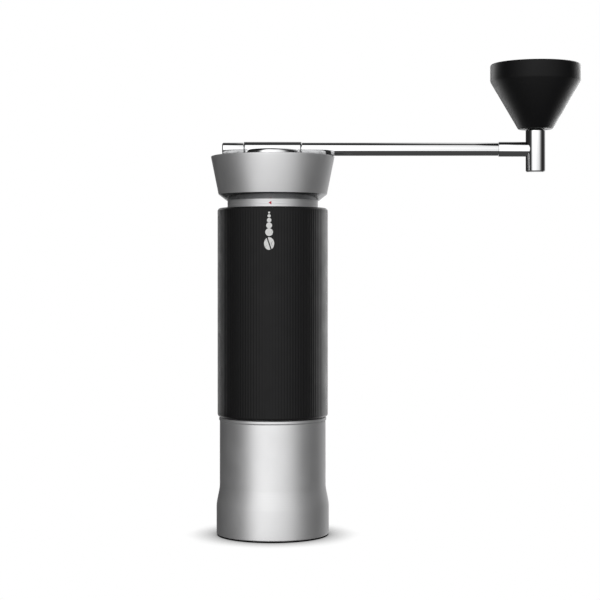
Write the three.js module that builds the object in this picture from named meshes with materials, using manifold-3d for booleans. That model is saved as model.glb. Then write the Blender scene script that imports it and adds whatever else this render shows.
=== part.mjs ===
// A hand crank coffee grinder: a ribbed barrel with a flared adjusting dial on top, a pull-off cup below,
// conical burrs on a central shaft, and a lift-off crank with a cone-shaped knob.
// Millimetres, +Z up. The origin is the centre of the foot pad's underside, and the crank points along +X.
import * as THREE from "three";
import { mergeVertices } from "three/addons/utils/BufferGeometryUtils.js";
import Module from "manifold-3d";

const wasm = await Module();
wasm.setup();

// Driving dimensions
const GAP = 0.3; // clearance kept between pieces that touch
const FOOT_RADIUS = 28.5; // the cup's widened foot
const CUP_RADIUS = 26.85; // the cup above its foot
const GRIP_RADIUS = 28.0;
const NECK_RADIUS = 22.95; // the bare metal between the grip and the dial
const RIM_RADIUS = 31.3; // the dial's flared top edge
const CUP_TOP_Z = 57.9;
const GRIP_BOTTOM_Z = 59.8;
const GRIP_TOP_Z = 165.4;
const DIAL_BOTTOM_Z = 169.3;
const RIM_Z = 191.7;
const ARM_Z = 195.4; // the crank arm's axis, just clear of the rim
const ARM_RADIUS = 3.35;
const CRANK_THROW = 133.45; // grinder axis to knob axis
const KNOB_RADIUS = 22.8;
const KNOB_BOTTOM_Z = 205.6;
const KNOB_TOP_Z = 238.5;
const SHAFT_RADIUS = 3.9;
const HOPPER_RADIUS = 20.5; // the barrel's bore
const BURR_BORE = 22.5; // the bore that holds the ring burr
const HEX_FLATS = 6.6; // the drive hexagon on top of the shaft

// Facets round a full turn, for large, small and very small round pieces
const LARGE = 28;
const SMALL = 16;
const TINY = 8;

const SPOKE_ANGLES = [60, 180, 300]; // degrees, shared by the two bearing bridges

// Finishes
const finish = (color, roughness, metalness) => new THREE.MeshStandardMaterial({ color, roughness, metalness });
const ANODISED = finish(0xb4b4b6, 0.35, 1.0);
const CHROME = finish(0xe6e8ea, 0.06, 1.0);
const STEEL = finish(0x9a9da1, 0.3, 1.0);
const BURR_STEEL = finish(0x6d7075, 0.35, 1.0);
const BRASS = finish(0xb08d4a, 0.35, 1.0);
const GRIP_RUBBER = finish(0x1b1b1c, 0.75, 0.0);
const SILICONE = finish(0x2a2a2c, 0.8, 0.0);
const KNOB_PLASTIC = finish(0x1a1a1b, 0.5, 0.0);

// Geometry helpers

// A three.js geometry as a solid that can be joined and cut.
function solidOf(geometry) {
  const bare = geometry.clone().deleteAttribute("normal").deleteAttribute("uv");
  const merged = mergeVertices(bare, 1e-4);
  return new wasm.Manifold(
    new wasm.Mesh({
      numProp: 3,
      vertProperties: merged.getAttribute("position").array,
      triVerts: new Uint32Array(merged.index.array),
    }),
  );
}

// A solid back as a three.js geometry.
function geometryOf(solid) {
  const { vertProperties, triVerts } = solid.getMesh();
  const geometry = new THREE.BufferGeometry();
  geometry.setAttribute("position", new THREE.BufferAttribute(vertProperties, 3));
  geometry.setIndex(new THREE.BufferAttribute(triVerts, 1));
  geometry.computeVertexNormals();
  return geometry;
}

// An outline of [radius, height] points, turned about +Z. It runs anticlockwise, with radius to the right.
function turned(outline, facets = LARGE) {
  const points = outline.map(([radius, height]) => new THREE.Vector2(radius, height));
  const reachesAxis = points[0].x === 0 && points.at(-1).x === 0;
  if (!reachesAxis) points.push(points[0].clone());
  return solidOf(new THREE.LatheGeometry(points, facets).rotateX(Math.PI / 2));
}

// A plain ring between two radii and two heights.
const ring = (inner, outer, bottom, top, facets = LARGE) =>
  turned([[inner, bottom], [outer, bottom], [outer, top], [inner, top]], facets);

// Points of a round stretch of an outline: its centre, radius and two angles in degrees.
function bend([cr, cz], radius, from, to, steps = 3) {
  return Array.from({ length: steps + 1 }, (_, i) => {
    const angle = THREE.MathUtils.degToRad(from + ((to - from) * i) / steps);
    return [cr + radius * Math.cos(angle), cz + radius * Math.sin(angle)];
  });
}

// A cylinder along X, from x = start to x = end, at height z.
const barAlongX = (radius, start, end, z, facets = SMALL) =>
  solidOf(
    new THREE.CylinderGeometry(radius, radius, end - start, facets)
      .rotateZ(-Math.PI / 2)
      .translate((start + end) / 2, 0, z),
  );

// A hexagonal prism about +Z.
const hexagon = (flats, bottom, top) =>
  solidOf(
    new THREE.CylinderGeometry(flats / Math.sqrt(3), flats / Math.sqrt(3), top - bottom, 6)
      .rotateX(Math.PI / 2)
      .translate(0, 0, (bottom + top) / 2),
  );

const block = ([x0, y0, z0], [x1, y1, z1]) =>
  solidOf(
    new THREE.BoxGeometry(x1 - x0, y1 - y0, z1 - z0).translate((x0 + x1) / 2, (y0 + y1) / 2, (z0 + z1) / 2),
  );

const turnBy = (solid, degrees) => solid.rotate([0, 0, degrees]);
const joined = (...solids) => solids.reduce((sum, next) => sum.add(next));
const evenAngles = (count, first = 0) => Array.from({ length: count }, (_, i) => first + (360 / count) * i);

// A closed wire wound round +Z, from z = bottom to z = top.
class Helix extends THREE.Curve {
  constructor(radius, bottom, top, turns) {
    super();
    Object.assign(this, { radius, bottom, top, turns });
  }
  getPoint(t) {
    const angle = 2 * Math.PI * this.turns * t;
    return new THREE.Vector3(
      this.radius * Math.cos(angle),
      this.radius * Math.sin(angle),
      this.bottom + (this.top - this.bottom) * t,
    );
  }
}
function coil(radius, wire, bottom, top, turns, stepsPerTurn, sides) {
  const section = new THREE.Shape(
    evenAngles(sides).map((degrees) => {
      const angle = THREE.MathUtils.degToRad(degrees);
      return new THREE.Vector2(wire * Math.cos(angle), wire * Math.sin(angle));
    }),
  );
  return solidOf(
    new THREE.ExtrudeGeometry(section, {
      steps: turns * stepsPerTurn,
      extrudePath: new Helix(radius, bottom + wire, top - wire, turns),
    }),
  );
}

// A toothed cone between two heights. radiusAt gives the tip radius from 0 at the bottom to 1 at the top.
function toothedCone({ teeth, depthShare, bottom, top, radiusAt, twist, steps }) {
  const outline = new THREE.Shape(
    evenAngles(2 * teeth).map((degrees, i) => {
      const angle = THREE.MathUtils.degToRad(degrees);
      const radius = i % 2 ? 1 - depthShare : 1;
      return new THREE.Vector2(radius * Math.cos(angle), radius * Math.sin(angle));
    }),
  );
  const height = top - bottom;
  const geometry = new THREE.ExtrudeGeometry(outline, { depth: height, steps, bevelEnabled: false });
  const position = geometry.getAttribute("position");
  for (let i = 0; i < position.count; i++) {
    const point = new THREE.Vector3().fromBufferAttribute(position, i);
    const share = point.z / height;
    const radius = radiusAt(share);
    point.multiply(new THREE.Vector3(radius, radius, 1)).applyAxisAngle(new THREE.Vector3(0, 0, 1), twist * share);
    position.setXYZ(i, point.x, point.y, point.z + bottom);
  }
  return solidOf(geometry);
}

// Nodes
const grinder = new THREE.Group();
function place(name, solid, material) {
  const mesh = new THREE.Mesh(geometryOf(solid), material);
  mesh.name = name;
  grinder.add(mesh);
}

// The barrel: one turned aluminium tube, stepped in at the neck, with a wider bore below for the burr housing.
const NECK_TOP_Z = 177.0;
const HOUSING_BORE = 24.3;
const HOUSING_BORE_TOP_Z = 84.0;
const BARREL_RADIUS = 25.8;
const SHOULDER_Z = GRIP_TOP_Z - GAP;
const BRIDGE_SCREW_Z = 99.0;
const GUIDE_PIN_ANGLE = 120;
const GUIDE_PIN_Z = 172.5;
const GUIDE_PIN_RADIUS = 1.0;
const SCREW_RADIUS = 1.5;
const HEAD_RADIUS = 2.6;
const HEAD_START = 24.2;

function barrel() {
  const tube = turned([
    [HOUSING_BORE, GRIP_BOTTOM_Z],
    [BARREL_RADIUS, GRIP_BOTTOM_Z],
    [BARREL_RADIUS, SHOULDER_Z],
    [NECK_RADIUS, SHOULDER_Z],
    [NECK_RADIUS, NECK_TOP_Z - 0.4],
    [NECK_RADIUS - 0.4, NECK_TOP_Z],
    [HOPPER_RADIUS, NECK_TOP_Z],
    [HOPPER_RADIUS, HOUSING_BORE_TOP_Z],
    [HOUSING_BORE, HOUSING_BORE_TOP_Z],
  ]);
  const screwHole = barAlongX(SCREW_RADIUS + GAP, 18, 30, BRIDGE_SCREW_Z, TINY).add(
    barAlongX(HEAD_RADIUS + GAP, HEAD_START - GAP, 30, BRIDGE_SCREW_Z, TINY),
  );
  const pinHole = barAlongX(GUIDE_PIN_RADIUS + GAP, 18, 30, GUIDE_PIN_Z, TINY);
  const holes = joined(...SPOKE_ANGLES.map((a) => turnBy(screwHole, a)), turnBy(pinHole, GUIDE_PIN_ANGLE));
  return tube.subtract(holes);
}
place("body_tube", barrel(), ANODISED);

// The guide pin keeps the bearing carrier from turning with the dial.
const guidePin = barAlongX(GUIDE_PIN_RADIUS, 18.6, NECK_RADIUS - 0.4, GUIDE_PIN_Z, TINY);
place("carrier_guide_pin", turnBy(guidePin, GUIDE_PIN_ANGLE), STEEL);

// The grip: a moulded rubber sleeve with rounded ends.
const GRIP_EDGE = 2.0;
function grip() {
  const inner = BARREL_RADIUS + GAP;
  const edge = GRIP_RADIUS - GRIP_EDGE;
  return turned([
    [inner, GRIP_BOTTOM_Z],
    ...bend([edge, GRIP_BOTTOM_Z + GRIP_EDGE], GRIP_EDGE, -80, 0),
    ...bend([edge, GRIP_TOP_Z - GRIP_EDGE], GRIP_EDGE, 0, 80),
    [inner, GRIP_TOP_Z],
  ]);
}
place("grip_sleeve", grip(), GRIP_RUBBER);

// The burr housing screws into the barrel from below. Its flange shows as a thin ring, and its spigot enters
// the cup and carries the magnets that hold it.
const FLANGE_RADIUS = 27.2;
const FLANGE_Z = CUP_TOP_Z + GAP;
const SPIGOT_RADIUS = 24.2;
const SPIGOT_BOTTOM_Z = 49.5;
const THROAT_RADIUS = 19.6;
const BURR_STOP_Z = 79.0;
const MAGNET_ANGLES = evenAngles(4, 45);
const MAGNET_Z = 53.8;
const MAGNET_RADIUS = 2.2;
const GRUB_ANGLES = evenAngles(3);
const GRUB_Z = 66.0;

function burrHousing() {
  const flangeTop = GRIP_BOTTOM_Z - GAP;
  const sleeve = HOUSING_BORE - GAP;
  const top = HOUSING_BORE_TOP_Z - GAP;
  const body = turned([
    [BURR_BORE, SPIGOT_BOTTOM_Z],
    [SPIGOT_RADIUS - 0.4, SPIGOT_BOTTOM_Z],
    [SPIGOT_RADIUS, SPIGOT_BOTTOM_Z + 0.4],
    [SPIGOT_RADIUS, FLANGE_Z],
    [FLANGE_RADIUS, FLANGE_Z],
    [FLANGE_RADIUS, flangeTop],
    [sleeve, flangeTop],
    [sleeve, top],
    [THROAT_RADIUS, top],
    [THROAT_RADIUS, BURR_STOP_Z],
    [BURR_BORE, BURR_STOP_Z],
  ]);
  const pocket = barAlongX(MAGNET_RADIUS + GAP, BURR_BORE + GAP, 30, MAGNET_Z, TINY);
  const grubHole = barAlongX(SCREW_RADIUS + GAP, 21, 30, GRUB_Z, TINY);
  return body.subtract(
    joined(...MAGNET_ANGLES.map((a) => turnBy(pocket, a)), ...GRUB_ANGLES.map((a) => turnBy(grubHole, a))),
  );
}
place("burr_housing", burrHousing(), ANODISED);

const magnet = barAlongX(MAGNET_RADIUS, BURR_BORE + GAP + 0.15, SPIGOT_RADIUS - 0.25, MAGNET_Z, TINY);
MAGNET_ANGLES.forEach((a, i) => place(`cup_magnet_${i + 1}`, turnBy(magnet, a), CHROME));

// A screw's hexagon socket, cut into the end that looks along +X.
const socketAlongX = (flats, start, end, z) =>
  hexagon(flats, start, end).rotate([0, 90, 0]).translate([0, 0, z]);

const grubScrew = barAlongX(SCREW_RADIUS, 21.2, 23.7, GRUB_Z, TINY).subtract(
  socketAlongX(1.5, 22.7, 24.0, GRUB_Z),
);
GRUB_ANGLES.forEach((a, i) => place(`burr_grub_screw_${i + 1}`, turnBy(grubScrew, a), STEEL));

// The ring burr: hardened steel, toothed inside, dimpled outside for the grub screws.
const RING_BURR_BOTTOM_Z = 53.5;
const RING_BURR_TOP_Z = BURR_STOP_Z - GAP;
function ringBurr() {
  const blank = turned([
    [0, RING_BURR_BOTTOM_Z],
    [BURR_BORE - GAP, RING_BURR_BOTTOM_Z],
    [BURR_BORE - GAP, RING_BURR_TOP_Z],
    [0, RING_BURR_TOP_Z],
  ]);
  const opening = toothedCone({
    teeth: 24,
    depthShare: 0.05,
    bottom: RING_BURR_BOTTOM_Z - 0.1,
    top: RING_BURR_TOP_Z + 0.1,
    radiusAt: (share) => 19.65 - 1.2 * share,
    twist: 0.2,
    steps: 2,
  });
  const dimple = barAlongX(SCREW_RADIUS + GAP, 20.9, 25, GRUB_Z, TINY);
  return blank.subtract(joined(opening, ...GRUB_ANGLES.map((a) => turnBy(dimple, a))));
}
place("outer_burr", ringBurr(), BURR_STEEL);

// A bearing bridge: a rim and a hub joined by three spokes that leave room for beans to fall between them.
const BRIDGE_RADIUS = HOPPER_RADIUS - GAP;
const HUB_RADIUS = 10.5;
const BEARING_RADIUS = 8.0;
const BEARING_WIDTH = 5.0;
const SPOKE_WIDTH = 4.2;
const SHAFT_CLEARANCE = 5.6;
function spokes(bottom, top, reach) {
  const spoke = block([HUB_RADIUS - 0.8, -SPOKE_WIDTH / 2, bottom], [reach, SPOKE_WIDTH / 2, top]);
  return joined(...SPOKE_ANGLES.map((a) => turnBy(spoke, a)));
}

// The lower bridge, screwed into the barrel. Its bearing goes in from below.
const LOWER_BEARING_Z = 95.3;
function lowerBridge() {
  const seat = LOWER_BEARING_Z + BEARING_WIDTH + GAP;
  const hub = turned(
    [
      [BEARING_RADIUS + GAP, LOWER_BEARING_Z - 0.8],
      [HUB_RADIUS, LOWER_BEARING_Z - 0.8],
      [HUB_RADIUS, seat + 1.7],
      [SHAFT_CLEARANCE, seat + 1.7],
      [SHAFT_CLEARANCE, seat],
      [BEARING_RADIUS + GAP, seat],
    ],
    SMALL,
  );
  const screwHole = barAlongX(SCREW_RADIUS + GAP, 15, 25, BRIDGE_SCREW_Z, TINY);
  return joined(ring(17.6, BRIDGE_RADIUS, 96, 102), hub, spokes(96.5, 101.5, 18.0)).subtract(
    joined(...SPOKE_ANGLES.map((a) => turnBy(screwHole, a))),
  );
}
place("lower_bridge", lowerBridge(), ANODISED);

const bridgeScrew = barAlongX(SCREW_RADIUS, 15.3, 25.4, BRIDGE_SCREW_Z, TINY)
  .add(barAlongX(HEAD_RADIUS, HEAD_START, 25.4, BRIDGE_SCREW_Z, TINY))
  .subtract(socketAlongX(2.0, 24.6, 26, BRIDGE_SCREW_Z));
SPOKE_ANGLES.forEach((a, i) => place(`bridge_screw_${i + 1}`, turnBy(bridgeScrew, a), STEEL));

// Ball bearings: two grooved races, with the balls held in one cage.
const BALL_CIRCLE = 6.15;
const BALL_RADIUS = 0.75;
const outerRace = (z) =>
  turned(
    [
      [7.1, z],
      [BEARING_RADIUS, z],
      [BEARING_RADIUS, z + BEARING_WIDTH],
      [7.1, z + BEARING_WIDTH],
      [7.1, z + 3.2],
      [7.4, z + 2.5],
      [7.1, z + 1.8],
    ],
    SMALL,
  );
const innerRace = (z) =>
  turned(
    [
      [SHAFT_RADIUS + GAP, z],
      [5.2, z],
      [5.2, z + 1.8],
      [4.9, z + 2.5],
      [5.2, z + 3.2],
      [5.2, z + BEARING_WIDTH],
      [SHAFT_RADIUS + GAP, z + BEARING_WIDTH],
    ],
    SMALL,
  );
function ballCage(z) {
  const middle = z + BEARING_WIDTH / 2;
  const ball = solidOf(new THREE.IcosahedronGeometry(BALL_RADIUS).translate(BALL_CIRCLE, 0, middle));
  return joined(ring(5.8, 6.5, middle - 0.5, middle + 0.5, SMALL), ...evenAngles(7).map((a) => turnBy(ball, a)));
}
place("lower_bearing_outer_race", outerRace(LOWER_BEARING_Z), STEEL);
place("lower_bearing_inner_race", innerRace(LOWER_BEARING_Z), STEEL);
place("lower_bearing_cage", ballCage(LOWER_BEARING_Z), STEEL);

// The preload spring stands on the lower bridge and pushes the shaft's collar up, through a thrust washer, so
// that the carrier always bears against the dial.
const SPRING_BOTTOM_Z = 102.6;
const SPRING_TOP_Z = 116.0;
place("preload_spring", coil(7.0, 0.6, SPRING_BOTTOM_Z, SPRING_TOP_Z, 5, 9, 5), STEEL);
place("thrust_washer", ring(SHAFT_RADIUS + GAP, 8.2, SPRING_TOP_Z + 0.3, SPRING_TOP_Z + 1.1, SMALL), BRASS);
place("spring_collar", ring(SHAFT_RADIUS + GAP, 8.0, SPRING_TOP_Z + 1.4, SPRING_TOP_Z + 5.4, SMALL), STEEL);

// The cup: a deep-drawn aluminium can on a widened foot, with a steel ring inside its mouth for the magnets.
const CUP_BORE = 24.65;
const KEEPER_BORE = 25.65;
const KEEPER_BOTTOM_Z = 50.2;
const PAD_RECESS_RADIUS = 25.3;
const SHELL_BOTTOM_Z = 0.7;
const PAD_SEAT_Z = 1.9;
const CUP_FLOOR_Z = 3.6;
const FLARE_START_Z = 14.6;
const FLARE_END_Z = 25.4;
function cup() {
  const flare = Array.from({ length: 6 }, (_, i) => {
    const share = i / 5;
    const eased = THREE.MathUtils.smoothstep(share, 0, 1);
    return [
      THREE.MathUtils.lerp(FOOT_RADIUS, CUP_RADIUS, 0.5 * (share + eased)),
      THREE.MathUtils.lerp(FLARE_START_Z, FLARE_END_Z, share),
    ];
  });
  return turned([
    [0, PAD_SEAT_Z],
    [PAD_RECESS_RADIUS, PAD_SEAT_Z],
    [PAD_RECESS_RADIUS, SHELL_BOTTOM_Z],
    [FOOT_RADIUS - 0.5, SHELL_BOTTOM_Z],
    [FOOT_RADIUS, SHELL_BOTTOM_Z + 0.5],
    ...flare,
    [CUP_RADIUS, CUP_TOP_Z - 0.4],
    [CUP_RADIUS - 0.3, CUP_TOP_Z],
    [KEEPER_BORE, CUP_TOP_Z],
    [KEEPER_BORE, KEEPER_BOTTOM_Z],
    [CUP_BORE, KEEPER_BOTTOM_Z],
    ...bend([CUP_BORE - 2, CUP_FLOOR_Z + 2], 2, 0, -90, 2),
    [0, CUP_FLOOR_Z],
  ]);
}
place("cup_shell", cup(), ANODISED);
place("cup_keeper_ring", ring(24.75, KEEPER_BORE - GAP, KEEPER_BOTTOM_Z + GAP, CUP_TOP_Z - GAP), STEEL);
place(
  "foot_pad",
  turned([[0, 0], [24.7, 0], [25.0, 0.3], [25.0, PAD_SEAT_Z - GAP], [0, PAD_SEAT_Z - GAP]]),
  SILICONE,
);

// The carrier holds the upper bearing. It slides in the barrel's neck and its lip hooks under the dial's flange.
const UPPER_BEARING_Z = 170.1;
const CARRIER_BORE = 17.8;
const LIP_BOTTOM_Z = 178.2;
const LIP_TOP_Z = 179.0;
function bearingCarrier() {
  const rim = turned([
    [CARRIER_BORE, 168.0],
    [BRIDGE_RADIUS, 168.0],
    [BRIDGE_RADIUS, LIP_BOTTOM_Z],
    [NECK_RADIUS - 0.4, LIP_BOTTOM_Z],
    [NECK_RADIUS - 0.4, LIP_TOP_Z],
    [CARRIER_BORE, LIP_TOP_Z],
  ]);
  const seat = UPPER_BEARING_Z - GAP;
  const hub = turned(
    [
      [SHAFT_CLEARANCE, seat - 2.3],
      [HUB_RADIUS, seat - 2.3],
      [HUB_RADIUS, seat + 5.5],
      [BEARING_RADIUS + GAP, seat + 5.5],
      [BEARING_RADIUS + GAP, seat],
      [SHAFT_CLEARANCE, seat],
    ],
    SMALL,
  );
  const slotHalf = GUIDE_PIN_RADIUS + GAP;
  const slot = block([17, -slotHalf, GUIDE_PIN_Z - 2.1], [21, slotHalf, GUIDE_PIN_Z + 2.6]);
  return joined(rim, hub, spokes(168.5, 173.5, 18.2)).subtract(turnBy(slot, GUIDE_PIN_ANGLE));
}
place("bearing_carrier", bearingCarrier(), ANODISED);
place("upper_bearing_outer_race", outerRace(UPPER_BEARING_Z), STEEL);
place("upper_bearing_inner_race", innerRace(UPPER_BEARING_Z), STEEL);
place("upper_bearing_cage", ballCage(UPPER_BEARING_Z), STEEL);

// The dial: the flared ring that is turned to set the grind. It is the hopper's mouth as well, with a ledge
// for the lid and three ball detents set into its inner flange.
const DIAL_WAIST_RADIUS = 27.5;
const DIAL_WAIST_Z = 172.4;
const FLANGE_UNDERSIDE_Z = LIP_TOP_Z + GAP;
const DETENT_CIRCLE = 21.4;
const DETENT_ANGLES = evenAngles(3);
const DETENT_BALL = 1.2;
const LEDGE_Z = 188.2;
const MOUTH_RADIUS = 29.4;
const LEDGE_RADIUS = 27.6;
const HOPPER_CONE_Z = 184.6;
function dial() {
  const rimEdge = 0.5;
  const body = turned([
    [NECK_RADIUS + GAP, DIAL_BOTTOM_Z],
    [DIAL_WAIST_RADIUS, DIAL_WAIST_Z],
    ...bend([RIM_RADIUS - rimEdge, RIM_Z - rimEdge], rimEdge, 0, 90, 2),
    [MOUTH_RADIUS + 0.3, RIM_Z],
    [MOUTH_RADIUS, RIM_Z - 0.3],
    [MOUTH_RADIUS, LEDGE_Z],
    [LEDGE_RADIUS, LEDGE_Z],
    [THROAT_RADIUS, HOPPER_CONE_Z],
    [THROAT_RADIUS, FLANGE_UNDERSIDE_Z],
    [NECK_RADIUS + GAP, FLANGE_UNDERSIDE_Z],
  ]);
  const hole = turned([[0, 178], [DETENT_BALL + GAP, 178], [DETENT_BALL + GAP, 188], [0, 188]], TINY).translate([
    DETENT_CIRCLE,
    0,
    0,
  ]);
  return body.subtract(joined(...DETENT_ANGLES.map((a) => turnBy(hole, a))));
}
place("dial_ring", dial(), ANODISED);

const detentBall = solidOf(
  new THREE.SphereGeometry(DETENT_BALL, 8, 6).translate(DETENT_CIRCLE, 0, LIP_TOP_Z + 0.15 + DETENT_BALL),
);
const detentSpring = coil(0.8, 0.2, 181.8, 183.5, 3, 7, 4).translate([DETENT_CIRCLE, 0, 0]);
const detentScrew = turned([[0, 183.8], [DETENT_BALL, 183.8], [DETENT_BALL, 185.1], [0, 185.1]], TINY)
  .subtract(hexagon(1.3, 184.4, 186))
  .translate([DETENT_CIRCLE, 0, 0]);
DETENT_ANGLES.forEach((a, i) => {
  place(`detent_ball_${i + 1}`, turnBy(detentBall, a), STEEL);
  place(`detent_spring_${i + 1}`, turnBy(detentSpring, a), STEEL);
  place(`detent_screw_${i + 1}`, turnBy(detentScrew, a), STEEL);
});

// The shaft: threaded below for the burr nut, grooved for two circlips, with a drive hexagon on top.
const SHAFT_BOTTOM_Z = 45.0;
const THREAD_RADIUS = 3.0;
const THREAD_TOP_Z = 50.9;
const HEX_BOTTOM_Z = 178.0;
const SHAFT_TOP_Z = 190.6;
const DRIVE_PIN_Z = 78.0;
const DRIVE_PIN_RADIUS = 1.0;
const CIRCLIP_HEIGHTS = { lower: 169.0, upper: 175.5 };
const CIRCLIP_THICKNESS = 0.7;
function shaft() {
  const groove = (z) => ring(3.4, 6, z - 0.15, z + CIRCLIP_THICKNESS + 0.15, SMALL);
  const body = turned(
    [
      [0, SHAFT_BOTTOM_Z],
      [THREAD_RADIUS - 0.4, SHAFT_BOTTOM_Z],
      [THREAD_RADIUS, SHAFT_BOTTOM_Z + 0.4],
      [THREAD_RADIUS, THREAD_TOP_Z],
      [SHAFT_RADIUS, THREAD_TOP_Z],
      [SHAFT_RADIUS, HEX_BOTTOM_Z],
      [0, HEX_BOTTOM_Z],
    ],
    SMALL,
  );
  const crossHole = barAlongX(DRIVE_PIN_RADIUS + GAP, -6, 6, DRIVE_PIN_Z, TINY);
  return body
    .add(hexagon(HEX_FLATS, HEX_BOTTOM_Z - 1, SHAFT_TOP_Z))
    .subtract(joined(groove(CIRCLIP_HEIGHTS.lower), groove(CIRCLIP_HEIGHTS.upper), crossHole));
}
place("shaft", shaft(), STEEL);

// A C-shaped spring clip, open towards +Y.
const circlip = (inner, outer, z, opening, facets) =>
  ring(inner, outer, z, z + CIRCLIP_THICKNESS, facets).subtract(
    block([-opening / 2, 0, z - 1], [opening / 2, outer + 1, z + 2]),
  );
for (const [level, z] of Object.entries(CIRCLIP_HEIGHTS)) {
  place(`shaft_circlip_${level}`, circlip(3.7, 5.0, z, 2.6, SMALL), STEEL);
}

// The cone burr, its drive pin, and the washer and nut that hold it up.
const CONE_BURR_BOTTOM_Z = 52.6;
const CONE_BURR_TOP_Z = 79.0;
function coneBurr() {
  const cone = toothedCone({
    teeth: 20,
    depthShare: 0.09,
    bottom: CONE_BURR_BOTTOM_Z,
    top: CONE_BURR_TOP_Z,
    radiusAt: (share) => 18.3 - 9.8 * share ** 1.5,
    twist: 0.9,
    steps: 6,
  });
  const bore = turned(
    [[0, 50], [SHAFT_RADIUS + GAP, 50], [SHAFT_RADIUS + GAP, 82], [0, 82]],
    SMALL,
  );
  const half = DRIVE_PIN_RADIUS + GAP;
  const slot = block([-10, -half, DRIVE_PIN_Z - half], [10, half, 82]);
  return cone.subtract(bore.add(slot));
}
place("inner_burr", coneBurr(), BURR_STEEL);
place("burr_drive_pin", barAlongX(DRIVE_PIN_RADIUS, -7.4, 7.4, DRIVE_PIN_Z, TINY), STEEL);
place("burr_washer", ring(SHAFT_RADIUS + GAP, 8.5, THREAD_TOP_Z, CONE_BURR_BOTTOM_Z - GAP, SMALL), STEEL);
const nutBore = turned([[0, 44], [THREAD_RADIUS + GAP, 44], [THREAD_RADIUS + GAP, 52], [0, 52]], SMALL);
place("burr_nut", hexagon(10, 46.6, THREAD_TOP_Z - GAP).subtract(nutBore), STEEL);

// The crank's hub: a disc with a neck below that takes the drive hexagon, and a rounded bridge across its top
// for the arm.
const DISC_RADIUS = 14.7;
const DISC_BOTTOM_Z = 190.8;
const DISC_TOP_Z = 195.0;
const HUB_NECK_RADIUS = 9.0;
const HUB_NECK_BOTTOM_Z = 181.5;
const BRIDGE_HALF_WIDTH = 5.3;
const BRIDGE_HALF_HEIGHT = 3.75;
const BRIDGE_END = DISC_RADIUS;
const TENON_RADIUS = 2.3;
const LID_CLIP_Z = 185.9;
function crankHub() {
  const edge = 1.2;
  const body = turned([
    [0, HUB_NECK_BOTTOM_Z],
    [HUB_NECK_RADIUS, HUB_NECK_BOTTOM_Z],
    [HUB_NECK_RADIUS, LID_CLIP_Z - 0.15],
    [HUB_NECK_RADIUS - 0.7, LID_CLIP_Z - 0.15],
    [HUB_NECK_RADIUS - 0.7, LID_CLIP_Z + CIRCLIP_THICKNESS + 0.15],
    [HUB_NECK_RADIUS, LID_CLIP_Z + CIRCLIP_THICKNESS + 0.15],
    [HUB_NECK_RADIUS, DISC_BOTTOM_Z],
    [DISC_RADIUS - 0.4, DISC_BOTTOM_Z],
    [DISC_RADIUS, DISC_BOTTOM_Z + 0.4],
    ...bend([DISC_RADIUS - edge, DISC_TOP_Z - edge], edge, 0, 90, 2),
    [0, DISC_TOP_Z],
  ]);
  const bar = barAlongX(1, -20, 20, 0, SMALL)
    .scale([1, BRIDGE_HALF_WIDTH, BRIDGE_HALF_HEIGHT])
    .translate([0, 0, ARM_Z]);
  const trim = turned([[0, 190], [BRIDGE_END, 190], [BRIDGE_END, 202], [0, 202]]);
  const socket = hexagon(HEX_FLATS + 2 * GAP, HUB_NECK_BOTTOM_Z - 1, SHAFT_TOP_Z + GAP);
  const bore = barAlongX(TENON_RADIUS + GAP, -20, 20, ARM_Z);
  return body.add(bar.intersect(trim)).subtract(socket.add(bore));
}
place("crank_hub", crankHub(), CHROME);
place("lid_clip", circlip(8.6, 10.4, LID_CLIP_Z, 6, LARGE), STEEL);

// The arm: a chromed rod whose tenon passes through the hub and is clamped by the tail nut.
const ARM_START = BRIDGE_END + GAP;
const FERRULE_START = 114.6;
const TAIL_END = -25.6;
const alongX = (solid, z) => solid.rotate([0, 90, 0]).translate([0, 0, z]);
place(
  "crank_arm",
  alongX(
    turned(
      [
        [0, -22.0],
        [TENON_RADIUS, -22.0],
        [TENON_RADIUS, ARM_START],
        [ARM_RADIUS, ARM_START],
        [ARM_RADIUS, FERRULE_START - GAP],
        [TENON_RADIUS, FERRULE_START - GAP],
        [TENON_RADIUS, FERRULE_START + 9],
        [0, FERRULE_START + 9],
      ],
      SMALL,
    ),
    ARM_Z,
  ),
  CHROME,
);
place(
  "arm_tail_nut",
  alongX(
    turned(
      [
        [0, TAIL_END],
        [ARM_RADIUS - 0.3, TAIL_END],
        [ARM_RADIUS, TAIL_END + 0.3],
        [ARM_RADIUS, -ARM_START],
        [TENON_RADIUS + GAP, -ARM_START],
        [TENON_RADIUS + GAP, -22.0 - GAP],
        [0, -22.0 - GAP],
      ],
      SMALL,
    ),
    ARM_Z,
  ),
  CHROME,
);

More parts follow.
